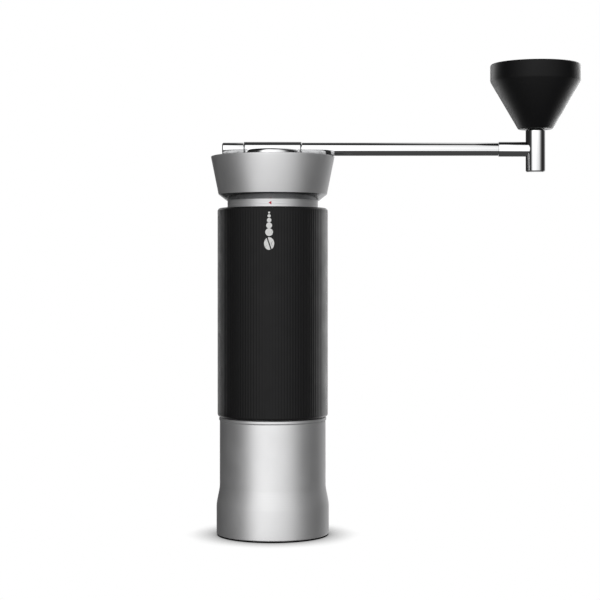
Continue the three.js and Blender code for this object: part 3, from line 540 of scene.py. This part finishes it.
WHITE_PRINT = moulded("white_print", (0.80, 0.80, 0.79), (0.45, 0.55), 0.3, 2.0, wear=0.0, dust=0.02)
MARK_X = -1.3
BEAN_HEIGHT, BEAN_WIDTH, BEAN_LENGTH, BEAN_SLIT = 147.0, 2.5, 3.1, 0.32
GRAINS = [(152.6, 1.9), (155.9, 1.45), (158.5, 1.1), (160.6, 0.8), (162.2, 0.5)]  # height and radius


def printed(name, radius, height, stretch=1.0, cut=None):
    """A thin printed spot that lies on the grip's ribs. A cut keeps the part of it on one side of a slit."""
    bpy.ops.object.select_all(action="DESELECT")
    bpy.ops.mesh.primitive_circle_add(
        vertices=48, radius=radius * MM, fill_type="TRIFAN",
        location=(MARK_X * MM, -(grip_radius + 0.5) * MM, height * MM), rotation=(math.pi / 2, 0, 0),
    )
    spot = bpy.context.object
    spot.name = spot.data.name = name
    spot.scale = (1, stretch, 1)
    bpy.ops.object.transform_apply()
    bpy.ops.object.mode_set(mode="EDIT")
    bpy.ops.mesh.select_all(action="SELECT")
    if cut:
        bpy.ops.mesh.bisect(
            plane_co=((MARK_X + cut * BEAN_SLIT) * MM, 0, height * MM), plane_no=(cut, 0, cut * 0.35),
            clear_inner=True, clear_outer=False,
        )
        bpy.ops.mesh.select_all(action="SELECT")
    bpy.ops.mesh.subdivide(number_cuts=3)
    bpy.ops.object.mode_set(mode="OBJECT")
    modified(spot, "SHRINKWRAP", target=grip, wrap_method="PROJECT", use_project_y=True, use_project_x=False,
             use_project_z=False, use_positive_direction=True, use_negative_direction=True, offset=0.02 * MM)
    modified(spot, "SOLIDIFY", thickness=0.03 * MM, offset=0.0)
    fitted(spot, WHITE_PRINT, "barrel", "grip_rubber")


printed("print_bean_left", BEAN_WIDTH, BEAN_HEIGHT, BEAN_LENGTH / BEAN_WIDTH, cut=-1)
printed("print_bean_right", BEAN_WIDTH, BEAN_HEIGHT, BEAN_LENGTH / BEAN_WIDTH, cut=1)
for i, (height, radius) in enumerate(GRAINS):
    printed(f"print_grain_{i + 1}", radius, height)

# Burr housing
# A turned aluminium ring that screws into the barrel from below. Its flange shows as a thin bright line. Nickel
# plated magnets are glued into its spigot for the cup, and three grub screws hold the ring burr.
flange_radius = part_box("burr_housing")[1].x / MM
HOUSING_BORE, HOUSING_BOTTOM = 22.5, 49.5
MAGNET_ANGLES = [45, 135, 225, 315]
MAGNET_HEIGHT, MAGNET_RADIUS = 53.8, 2.2
GRUB_ANGLES = [0, 120, 240]
GRUB_HEIGHT, GRUB_HOLE = 66.0, 1.8
housing = turned("burr_housing_ring", [
    (HOUSING_BORE, HOUSING_BOTTOM), (23.8, HOUSING_BOTTOM), (24.2, 49.9), (24.2, 58.0), (flange_radius - 0.25, 58.0),
    (flange_radius, 58.25), (flange_radius, 59.25), (flange_radius - 0.25, 59.5), (24.0, 59.5), (24.0, 83.7),
    (19.6, 83.7), (19.6, 79.0), (HOUSING_BORE, 79.0), (HOUSING_BORE, HOUSING_BOTTOM),
])
for degrees in MAGNET_ANGLES:
    joined(housing, rod("pocket", MAGNET_RADIUS + 0.15, 22.8, 30, MAGNET_HEIGHT, degrees), "DIFFERENCE")
for degrees in GRUB_ANGLES:
    joined(housing, rod("tapped_hole", GRUB_HOLE, 21, 30, GRUB_HEIGHT, degrees), "DIFFERENCE")
fitted(softened(housing, 0.08), SATIN_ALUMINIUM, "barrel", "aluminium", "burr_housing")

NICKEL = metal("nickel_plate", (0.66, 0.65, 0.62), (0.12, 0.2), 4.0, 0.1, 0.5, 0.1, wear=0.2)
for i, degrees in enumerate(MAGNET_ANGLES):
    magnet = rod(f"magnet_{i + 1}", MAGNET_RADIUS, 22.95, 23.95, MAGNET_HEIGHT, degrees)
    fitted(softened(magnet, 0.15), NICKEL, "barrel", "magnet", f"cup_magnet_{i + 1}")


def carried(finish, *nodes):
    """CAD solids whose shapes are right already, and only take a surface."""
    for name in nodes:
        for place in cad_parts[name].material_slots:
            place.material = finish


carried(PLAIN_STEEL, *[f"burr_grub_screw_{i}" for i in (1, 2, 3)])

# Burrs
# A toothed ring and a toothed cone, milled from stainless steel, hardened and ground. The cone turns with the
# shaft inside the ring. Long teeth above break the beans, and short ones below grind them.
BURR_STEEL = metal("burr_steel", (0.50, 0.50, 0.51), (0.20, 0.32), 7.0, 0.6, 0.4, 0.8, wear=1.0)
burr_low, burr_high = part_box("inner_burr")
ring_low, ring_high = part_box("outer_burr")


def toothed(name, teeth, depth, levels):
    """A body with pointed teeth round it. Each level is a tip radius, a height and a turn in degrees from the one
    before, and depth is the share of the radius that the gaps between the teeth are cut to."""
    radius, height, _ = levels[0]
    bpy.ops.object.select_all(action="DESELECT")
    bpy.ops.mesh.primitive_circle_add(
        vertices=4 * teeth, radius=radius * MM, fill_type="NGON", location=(0, 0, height * MM)
    )
    piece = bpy.context.object
    piece.name = piece.data.name = name
    bpy.ops.object.transform_apply(rotation=False, scale=False)
    tooth_angle = 2 * math.pi / teeth
    pick_points(piece, lambda r, angle, z: 0.4 < ((angle - math.pi / 2) / tooth_angle + 0.01) % 1 < 0.9)
    bpy.ops.transform.resize(value=(1 - depth, 1 - depth, 1), center_override=(0, 0, height * MM))
    bpy.ops.mesh.select_all(action="SELECT")
    for next_radius, next_height, turn in levels[1:]:
        bpy.ops.mesh.extrude_region_move(TRANSFORM_OT_translate={"value": (0, 0, (next_height - height) * MM)})
        grow = next_radius / radius
        bpy.ops.transform.resize(value=(grow, grow, 1), center_override=(0, 0, 0))
        bpy.ops.transform.rotate(value=-math.radians(turn), orient_axis="Z", center_override=(0, 0, 0))
        radius, height = next_radius, next_height
    bpy.ops.mesh.select_all(action="SELECT")
    bpy.ops.mesh.normals_make_consistent(inside=False)
    bpy.ops.object.mode_set(mode="OBJECT")
    return piece


CONE_STEPS = 8
cone_bottom, cone_top = burr_low.z / MM, burr_high.z / MM
cone = toothed("cone_burr", 24, 0.08, [
    (18.2 - 9.7 * (i / CONE_STEPS) ** 1.5, cone_bottom + (cone_top - cone_bottom) * i / CONE_STEPS, 6.0)
    for i in range(CONE_STEPS + 1)
])
joined(cone, turned("bore", [(4.2, 50), (4.2, 82)], facets=48), "DIFFERENCE")
joined(cone, rod("pin_slot", PIN_HOLE, -11, 11, cone_top - 1.0), "DIFFERENCE")
joined(cone, rod("pin_slot", PIN_HOLE, -11, 11, cone_top + 0.3), "DIFFERENCE")
fitted(softened(cone, 0.06, segments=1), BURR_STEEL, "drive_shaft", "burr_steel", "inner_burr")

ring_bottom, ring_top = ring_low.z / MM, ring_high.z / MM
ring_burr = turned("ring_burr", [
    (22.1, ring_bottom), (22.2, ring_bottom + 0.2), (22.2, ring_top - 0.3), (21.9, ring_top),
])
opening = toothed("opening", 30, 0.05, [
    (19.7, ring_bottom - 0.1, 0.0), (19.1, (ring_bottom + ring_top) / 2, 6.0), (18.5, ring_top + 0.1, 6.0),
])
joined(ring_burr, opening, "DIFFERENCE")
for degrees in GRUB_ANGLES:
    joined(ring_burr, rod("dimple", GRUB_HOLE, 20.9, 25, GRUB_HEIGHT, degrees), "DIFFERENCE")
fitted(softened(ring_burr, 0.06, segments=1), BURR_STEEL, "barrel", "burr_steel", "outer_burr")

# Lower bridge
# A cast aluminium spider, machined for the lower bearing, that three socket head screws hold inside the barrel.
# The preload spring stands on it.
CAST_ALUMINIUM = metal("cast_aluminium", (0.70, 0.70, 0.71), (0.40, 0.52), 5.0, 0.2, 0.5, 9.0, metallic=0.9)


def spoked(rim, hub, bottom, top, reach):
    """A rim and a hub joined by three spokes, in one casting with rounded edges."""
    hub_radius, spoke_width = 9.7, 4.2
    for degrees in SPOKE_ANGLES:
        angle = math.radians(degrees)
        middle = (hub_radius + reach) / 2 * MM
        bpy.ops.object.select_all(action="DESELECT")
        bpy.ops.mesh.primitive_cube_add(
            size=MM, location=(middle * math.cos(angle), middle * math.sin(angle), (bottom + top) / 2 * MM),
            rotation=(0, 0, angle), scale=(reach - hub_radius, spoke_width, top - bottom),
        )
        spoke = bpy.context.object
        bpy.ops.object.transform_apply()
        joined(rim, spoke, "UNION")
    return softened(joined(rim, hub, "UNION"), 0.3, segments=2)


lower_rim = turned("lower_bridge_spider", [(17.6, 96), (20.2, 96), (20.2, 102), (17.6, 102), (17.6, 96)], facets=96)
lower_hub = turned("hub", [
    (8.3, 94.5), (10.5, 94.5), (10.5, 102.3), (5.6, 102.3), (5.6, 100.6), (8.3, 100.6), (8.3, 94.5),
], facets=96)
lower_bridge = spoked(lower_rim, lower_hub, 96.5, 101.5, 18.0)
for degrees in SPOKE_ANGLES:
    joined(lower_bridge, rod("tapped_hole", SCREW_HOLE, 15, 25, SCREW_HEIGHT, degrees), "DIFFERENCE")
fitted(lower_bridge, CAST_ALUMINIUM, "barrel", "aluminium", "lower_bridge")

for i, degrees in enumerate(SPOKE_ANGLES):
    screw = rod(f"bridge_cap_screw_{i + 1}", 1.5, 15.3, 25.3, SCREW_HEIGHT, degrees)
    joined(screw, rod("head", 2.6, 24.2, 25.4, SCREW_HEIGHT, degrees), "UNION")
    joined(screw, rod("socket", 1.2, 24.6, 26, SCREW_HEIGHT, degrees, facets=6), "DIFFERENCE")
    fitted(softened(screw, 0.12), PLAIN_STEEL, "barrel", "steel", f"bridge_screw_{i + 1}")

# Bearings and spring
# Two plain ball bearings, a wound steel preload spring with its brass thrust washer and steel collar, and the
# clips, washer, nut and pin that hold the shaft and the cone burr.
BEARING_STEEL = metal("bearing_steel", (0.62, 0.62, 0.63), (0.14, 0.22), 9.0, 0.3, 0.4, 0.3, wear=0.2)
BRASS = metal("brass", (0.62, 0.42, 0.16), (0.22, 0.34), 8.0, 0.5, 0.4, 0.6)
carried(BEARING_STEEL, *[f"{level}_bearing_{part}" for level in ("lower", "upper")
                         for part in ("outer_race", "inner_race", "cage")])
carried(PLAIN_STEEL, "spring_collar", "shaft_circlip_lower", "shaft_circlip_upper")
carried(BRASS, "thrust_washer")

# The spring stands on the lower bridge. In use it shortens as the dial screws the bearing carrier down; here it is
# built at one length and moves with the barrel.
spring_low, spring_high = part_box("preload_spring")
WIRE_RADIUS, COIL_RADIUS, COIL_TURNS, STEPS_PER_TURN = 0.6, 7.0, 5, 48
coil_rise = (spring_high.z - spring_low.z) / MM - 2 * WIRE_RADIUS
bpy.ops.object.select_all(action="DESELECT")
bpy.ops.mesh.primitive_circle_add(
    vertices=16, radius=WIRE_RADIUS * MM, rotation=(math.pi / 2, 0, 0),
    location=(COIL_RADIUS * MM, 0, spring_low.z + WIRE_RADIUS * MM),
)
coil = bpy.context.object
coil.name = coil.data.name = "preload_coil"
bpy.ops.object.transform_apply()
modified(coil, "SCREW", axis="Z", screw_offset=coil_rise / COIL_TURNS * MM, iterations=COIL_TURNS,
         steps=STEPS_PER_TURN, render_steps=STEPS_PER_TURN, use_normal_calculate=True)
bpy.ops.object.mode_set(mode="EDIT")
bpy.ops.mesh.select_all(action="SELECT")
bpy.ops.mesh.fill_holes(sides=0)
bpy.ops.mesh.select_all(action="SELECT")
bpy.ops.mesh.normals_make_consistent(inside=False)
bpy.ops.object.mode_set(mode="OBJECT")
fitted(coil, PLAIN_STEEL, "barrel", "steel", "preload_spring")
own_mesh(coil)

# Shaft
# A ground steel shaft, threaded below for the burr nut, grooved for two clips, with a milled hexagon on top that
# drives the crank's hub.
shaft_low, shaft_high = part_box("shaft")
shaft_top = shaft_high.z / MM
SHAFT_RADIUS = 3.9
CLIP_HEIGHTS = [169.35, 175.85]
DRIVE_PIN_HEIGHT = 78.0
THREAD_PITCH = 0.8
thread = [
    point for i in range(6)
    for point in ((2.7, 45.5 + i * THREAD_PITCH), (3.0, 45.5 + (i + 0.5) * THREAD_PITCH))
]
shaft_outline = [(2.5, shaft_low.z / MM), *thread, (2.7, 50.9), (SHAFT_RADIUS, 50.9)]
for height in CLIP_HEIGHTS:
    shaft_outline += [(SHAFT_RADIUS, height - 0.5), (3.4, height - 0.5), (3.4, height + 0.5),
                      (SHAFT_RADIUS, height + 0.5)]
shaft = turned("drive_shaft_rod", [*shaft_outline, (SHAFT_RADIUS, 177.7), (3.6, 178.0)], facets=64)


def hexagon(name, flats, bottom, top):
    """An upright six-sided bar about the axis, with flats to the left and right."""
    bpy.ops.object.select_all(action="DESELECT")
    bpy.ops.mesh.primitive_cylinder_add(
        vertices=6, radius=flats / math.sqrt(3) * MM, depth=(top - bottom) * MM,
        location=(0, 0, (bottom + top) / 2 * MM),
    )
    made = bpy.context.object
    made.name = made.data.name = name
    bpy.ops.object.transform_apply()
    return made


joined(shaft, hexagon("drive_hexagon", 6.6, 177.0, shaft_top), "UNION")
joined(shaft, rod("cross_hole", PIN_HOLE, -6, 6, DRIVE_PIN_HEIGHT), "DIFFERENCE")
fitted(softened(shaft, 0.12), PLAIN_STEEL, "drive_shaft", "steel", "shaft")

nut_low, nut_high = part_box("burr_nut")
nut = hexagon("burr_lock_nut", 10, nut_low.z / MM, nut_high.z / MM)
joined(nut, turned("bore", [(3.3, 44), (3.3, 52)], facets=48), "DIFFERENCE")
fitted(softened(nut, 0.25), PLAIN_STEEL, "drive_shaft", "steel", "burr_nut")
washer = turned("burr_flat_washer", [(4.2, 50.9), (8.5, 50.9), (8.5, 52.3), (4.2, 52.3), (4.2, 50.9)], facets=64)
fitted(softened(washer, 0.15), PLAIN_STEEL, "drive_shaft", "steel", "burr_washer")
pin = rod("burr_cross_pin", PIN_RADIUS, -7.4, 7.4, DRIVE_PIN_HEIGHT)
fitted(softened(pin, 0.2), PLAIN_STEEL, "drive_shaft", "steel", "burr_drive_pin")

# Bearing carrier
# The same kind of casting as the lower bridge. It slides in the neck, held from turning by the guide pin, and its
# lip hooks under the dial.
LIP_RADIUS = NECK_RADIUS - 0.4
PIN_SLOT_HEIGHTS = [171.5, 172.5, 173.4, 173.9]
carrier_rim = turned("carrier_spider", [
    (17.8, 168), (20.2, 168), (20.2, 178.2), (LIP_RADIUS, 178.2), (LIP_RADIUS, 179), (17.8, 179), (17.8, 168),
], facets=128)
carrier_hub = turned("hub", [
    (5.6, 167.5), (10.5, 167.5), (10.5, 175.3), (8.3, 175.3), (8.3, 169.8), (5.6, 169.8), (5.6, 167.5),
], facets=96)
carrier = spoked(carrier_rim, carrier_hub, 168.5, 173.5, 18.2)
for height in PIN_SLOT_HEIGHTS:
    joined(carrier, rod("pin_slot", PIN_HOLE, 17, 21, height, PIN_ANGLE), "DIFFERENCE")
fitted(carrier, CAST_ALUMINIUM, "carrier", "aluminium", "bearing_carrier")

# Dial
# The flared ring that sets the grind, turned from aluminium and blasted like the cup, but for the cone below its
# waist, which is cut glossier afterwards and whose colour is painted darker as shade, since it faces down. Its top
# is the hopper's mouth, with a ledge for the lid, and three detent balls are sprung into its flange from above.
dial_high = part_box("dial_ring")[1]
rim_radius, rim_top = dial_high.x / MM, dial_high.z / MM
DIAL_BORE = NECK_RADIUS + 0.3
DIAL_BOTTOM = 169.3
DIAL_WAIST = (27.5, 172.4)
LID_LEDGE = 188.2
DETENT_ANGLES = [0, 120, 240]
DETENT_CIRCLE = 21.4
dial = turned("adjusting_dial", [
    (DIAL_BORE, DIAL_BOTTOM), (DIAL_BORE + 0.3, DIAL_BOTTOM), DIAL_WAIST, (rim_radius - 0.08, rim_top - 0.9),
    *arc((rim_radius - 0.35, rim_top - 0.35), 0.35, 0, 90, 4), (29.7, rim_top), (29.4, rim_top - 0.3),
    (29.4, LID_LEDGE), (27.6, LID_LEDGE), (19.6, 184.6), (19.6, 179.3), (DIAL_BORE, 179.3),
    (DIAL_BORE, DIAL_BOTTOM),
])


def at_detent(piece, degrees):
    """A piece made upright on the axis, moved out to a detent's place."""
    angle = math.radians(degrees)
    only_this(piece)
    piece.location = (DETENT_CIRCLE * MM * math.cos(angle), DETENT_CIRCLE * MM * math.sin(angle), 0)
    bpy.ops.object.transform_apply()
    return piece


for i, degrees in enumerate(DETENT_ANGLES):
    hole = turned("detent_hole", [(1.5, 178), (1.5, 188)], facets=32)
    joined(dial, at_detent(hole, degrees), "DIFFERENCE")
    plug = turned(f"detent_plug_{i + 1}", [(1.15, 183.8), (1.2, 184.0), (1.2, 185.1)], facets=32)
    joined(plug, hexagon("socket", 1.3, 184.4, 186), "DIFFERENCE")
    fitted(softened(at_detent(plug, degrees), 0.08), PLAIN_STEEL, "dial", "steel", f"detent_screw_{i + 1}")
fitted(softened(dial, 0.12), SATIN_ALUMINIUM, "dial", "aluminium", "dial_ring")
# The chamfer below the waist faces down: its darker colour is painted shade, and its lower roughness is the real cut
# finish.
CUT_ALUMINIUM_PAINTED_SHADE = metal("cut_aluminium_painted_shade", (0.34, 0.343, 0.35), (0.20, 0.28), 6.0, 0.3, 0.5, 0.1)
dial.data.materials.append(CUT_ALUMINIUM_PAINTED_SHADE)
# Faces that point down under the waist take the painted shade material.
for face in dial.data.polygons:
    out = math.hypot(face.center.x, face.center.y) / MM
    if face.normal.z < -0.7 and DIAL_BORE < out < DIAL_WAIST[0] + 0.1 and face.center.z / MM < DIAL_WAIST[1]:
        face.material_index = 1
carried(BEARING_STEEL, *[f"detent_ball_{i}" for i in (1, 2, 3)])
carried(PLAIN_STEEL, *[f"detent_spring_{i}" for i in (1, 2, 3)])

# Crank hub
# A chromed disc with a neck below that fits the drive hexagon. A rounded bridge across its top holds the arm, and
# a clip on the neck carries the lid.
CHROME = metal("chrome", (0.86, 0.865, 0.87), (0.03, 0.07), 3.0, 0.02, 0.5, 0.02, wear=0.1)
hub_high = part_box("crank_hub")[1]
arm_low, arm_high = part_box("crank_arm")
disc_radius = hub_high.x / MM
arm_height = (arm_low.z + arm_high.z) / 2 / MM
BRIDGE_HALF_WIDTH = 5.3
ARM_BORE = 2.6
NECK_OF_HUB, CLIP_GROOVE = 9.0, 8.3
bridge_half_height = hub_high.z / MM - arm_height
DISC_BOTTOM, DISC_TOP = 190.8, 195.0
hub = turned("crank_hub_disc", [
    (8.7, 181.5), (NECK_OF_HUB, 181.8), (NECK_OF_HUB, 185.75), (CLIP_GROOVE, 185.75), (CLIP_GROOVE, 186.75),
    (NECK_OF_HUB, 186.75), (NECK_OF_HUB, DISC_BOTTOM), (disc_radius - 0.5, DISC_BOTTOM),
    (disc_radius, DISC_BOTTOM + 0.5), *arc((disc_radius - 1.6, DISC_TOP - 1.6), 1.6, 0, 90, 8),
])
bridge = rod("bridge", 1, -1.1 * disc_radius, 1.1 * disc_radius, 0, facets=96)
bridge.scale = (1, BRIDGE_HALF_WIDTH, bridge_half_height)
bridge.location.z = arm_height * MM
only_this(bridge)
bpy.ops.object.transform_apply()
joined(bridge, turned("trim", [(disc_radius, 190), (disc_radius, 202)]), "INTERSECT")
joined(hub, bridge, "UNION")
joined(hub, hexagon("socket", 7.2, 180.5, 190.9), "DIFFERENCE")
joined(hub, rod("arm_bore", ARM_BORE, -20, 20, arm_height), "DIFFERENCE")
fitted(softened(hub, 0.06, sharper_than=25), CHROME, "crank", "chrome", "crank_hub")
carried(PLAIN_STEEL, "lid_clip")

# Crank arm
# A solid chromed rod. It passes through the hub, and a nut with a closed end clamps it from behind.
arm_radius = arm_high.y / MM
TENON_RADIUS = 2.3
FERRULE_START = 114.6
SEAM = 0.12
BRIDGE_END = disc_radius + SEAM


def along_x(piece, height):
    """A piece turned about Z, laid down along X at a height in millimetres."""
    only_this(piece)
    piece.rotation_euler = (0, math.pi / 2, 0)
    piece.location = (0, 0, height * MM)
    bpy.ops.object.transform_apply()
    return piece


arm = turned("crank_arm_rod", [
    (TENON_RADIUS, -22.0), (TENON_RADIUS, BRIDGE_END), (arm_radius, BRIDGE_END),
    (arm_radius, FERRULE_START - SEAM), (TENON_RADIUS, FERRULE_START - SEAM), (TENON_RADIUS, FERRULE_START + 9),
], facets=96)
fitted(softened(along_x(arm, arm_height), 0.03), CHROME, "crank", "chrome", "crank_arm")
tail = turned("arm_tail_cap", [
    (arm_radius - 0.5, -25.6), (arm_radius, -25.1), (arm_radius, -BRIDGE_END), (ARM_BORE, -BRIDGE_END),
    (ARM_BORE, -22.3),
], facets=96)
fitted(softened(along_x(tail, arm_height), 0.04), CHROME, "crank", "chrome", "arm_tail_nut")

# Knob post
# A chromed upright, bored across for the arm and turned down above to a spindle for the knob.
post_low, post_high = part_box("knob_post")
knob_low, knob_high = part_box("knob_shell")
knob_x = (knob_low.x + knob_high.x) / 2
post_radius = post_high.x / MM - knob_x / MM
SPINDLE_RADIUS, SCREW_THREAD_HOLE, FERRULE_RADIUS = 3.0, 1.8, 3.76
post_bottom = post_low.z / MM
knob_bottom, knob_top = knob_low.z / MM, knob_high.z / MM
post = turned("knob_upright", [
    (post_radius - 0.6, post_bottom), (post_radius, post_bottom + 0.6), (post_radius, knob_bottom - 0.9),
    (post_radius - 0.5, knob_bottom - 0.4), (SPINDLE_RADIUS, knob_bottom - 0.4), (SPINDLE_RADIUS, 227.4),
    (2.8, 227.6), (SCREW_THREAD_HOLE, 227.6), (SCREW_THREAD_HOLE, 217.7),
], centre_x=knob_x, facets=96)
ferrule = turned("ferrule", [(FERRULE_RADIUS, FERRULE_START), (FERRULE_RADIUS, knob_x / MM)], facets=96)
along_x(ferrule, arm_height)
joined(post, ferrule, "UNION")
joined(post, rod("arm_bore", ARM_BORE, 114, FERRULE_START + 9.3, arm_height), "DIFFERENCE")
fitted(softened(post, 0.08), CHROME, "crank", "chrome", "knob_post")

# Knob
# A moulded cone of black plastic with a soft matte surface. It turns on two brass bushes, held by a screw and
# washer, and a pressed-in cap hides them.
KNOB_PLASTIC = moulded("knob_plastic", (0.0055, 0.0055, 0.006), (0.43, 0.51), 0.35, 3.0, dust=0.006, specular=0.18)
knob_radius = (knob_high.x - knob_low.x) / 2 / MM
KNOB_BAND = 230.0
KNOB_BORE, BUSH_SEAT, CAP_SEAT = 3.6, 5.3, 235.9
knob = turned("cone_knob", [
    (KNOB_BORE, knob_bottom), (8.5, knob_bottom), (8.9, knob_bottom + 0.3), (knob_radius - 0.2, KNOB_BAND - 0.4),
    (knob_radius, KNOB_BAND + 0.3), *arc((knob_radius - 0.9, knob_top - 0.9), 0.9, 0, 90), (18.0, knob_top),
    (18.0, CAP_SEAT), (7.0, CAP_SEAT), (7.0, 227.6), (BUSH_SEAT, 227.6), (BUSH_SEAT, 221.6), (KNOB_BORE, 221.6),
    (KNOB_BORE, 211.6), (BUSH_SEAT, 211.6), (BUSH_SEAT, 206.7), (KNOB_BORE, 206.7), (KNOB_BORE, knob_bottom),
], centre_x=knob_x)
fitted(softened(knob, 0.12), KNOB_PLASTIC, "knob", "knob_plastic", "knob_shell")
cap_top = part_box("knob_cap")[1].z / MM
cap = turned("knob_top_cap", [
    (6.7, 233.4), (6.7, 236.2), (17.7, 236.2), (17.7, cap_top - 0.4), (17.3, cap_top), (15.4, cap_top),
    (15.2, cap_top - 0.25), (14.8, cap_top - 0.25), (14.6, cap_top), (6.0, cap_top), (2.0, cap_top - 0.1),
], centre_x=knob_x)
fitted(softened(cap, 0.08), KNOB_PLASTIC, "knob", "knob_plastic", "knob_cap")
for made in (knob, cap):
    black_pieces.objects.link(made)

BUSH_BORE, BUSH_RADIUS = 3.3, 5.0
for level in ("lower", "upper"):
    bush_low, bush_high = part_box(f"knob_bush_{level}")
    bottom, top = bush_low.z / MM, bush_high.z / MM
    bush = turned(f"bush_{level}", [
        (BUSH_BORE, bottom), (BUSH_RADIUS, bottom), (BUSH_RADIUS, top), (BUSH_BORE, top), (BUSH_BORE, bottom),
    ], centre_x=knob_x, facets=64)
    fitted(softened(bush, 0.15), BRASS, "knob", "brass", f"knob_bush_{level}")
carried(PLAIN_STEEL, "knob_washer", "knob_screw")

# Lid
# A turned aluminium disc that hangs on the hub's neck, so that it lifts away with the crank. A silicone ring
# round its edge seals the hopper.
LID_BORE, LID_TOP = 9.3, 190.4
lid = turned("hopper_lid", [
    (LID_BORE, 186.9), (12.3, 186.9), (12.5, 187.1), (12.5, 188.2), (26.6, 188.2), (26.9, 188.4), (26.9, 188.7),
    (26.3, 188.7), (26.3, 189.8), (26.9, 189.8), (26.9, 190.1), (26.6, LID_TOP), (24.4, LID_TOP), (24.2, 190.15),
    (23.6, 190.15), (23.4, LID_TOP), (18.2, LID_TOP), (18.0, 190.15), (17.4, 190.15), (17.2, LID_TOP),
    (LID_BORE, LID_TOP), (LID_BORE, 186.9),
])
fitted(softened(lid, 0.06, segments=2), SATIN_ALUMINIUM, "lid", "aluminium", "lid_plate")
seal = turned("hopper_seal", [
    (26.6, 189.0), (28.6, 188.55), (28.95, 188.6), (29.08, 188.8), (29.08, 189.6), (28.95, 189.85), (28.6, 189.85),
    (26.6, 189.5), (26.6, 189.0),
])
fitted(softened(seal, 0.06, segments=2), SILICONE, "lid", "silicone", "lid_seal")
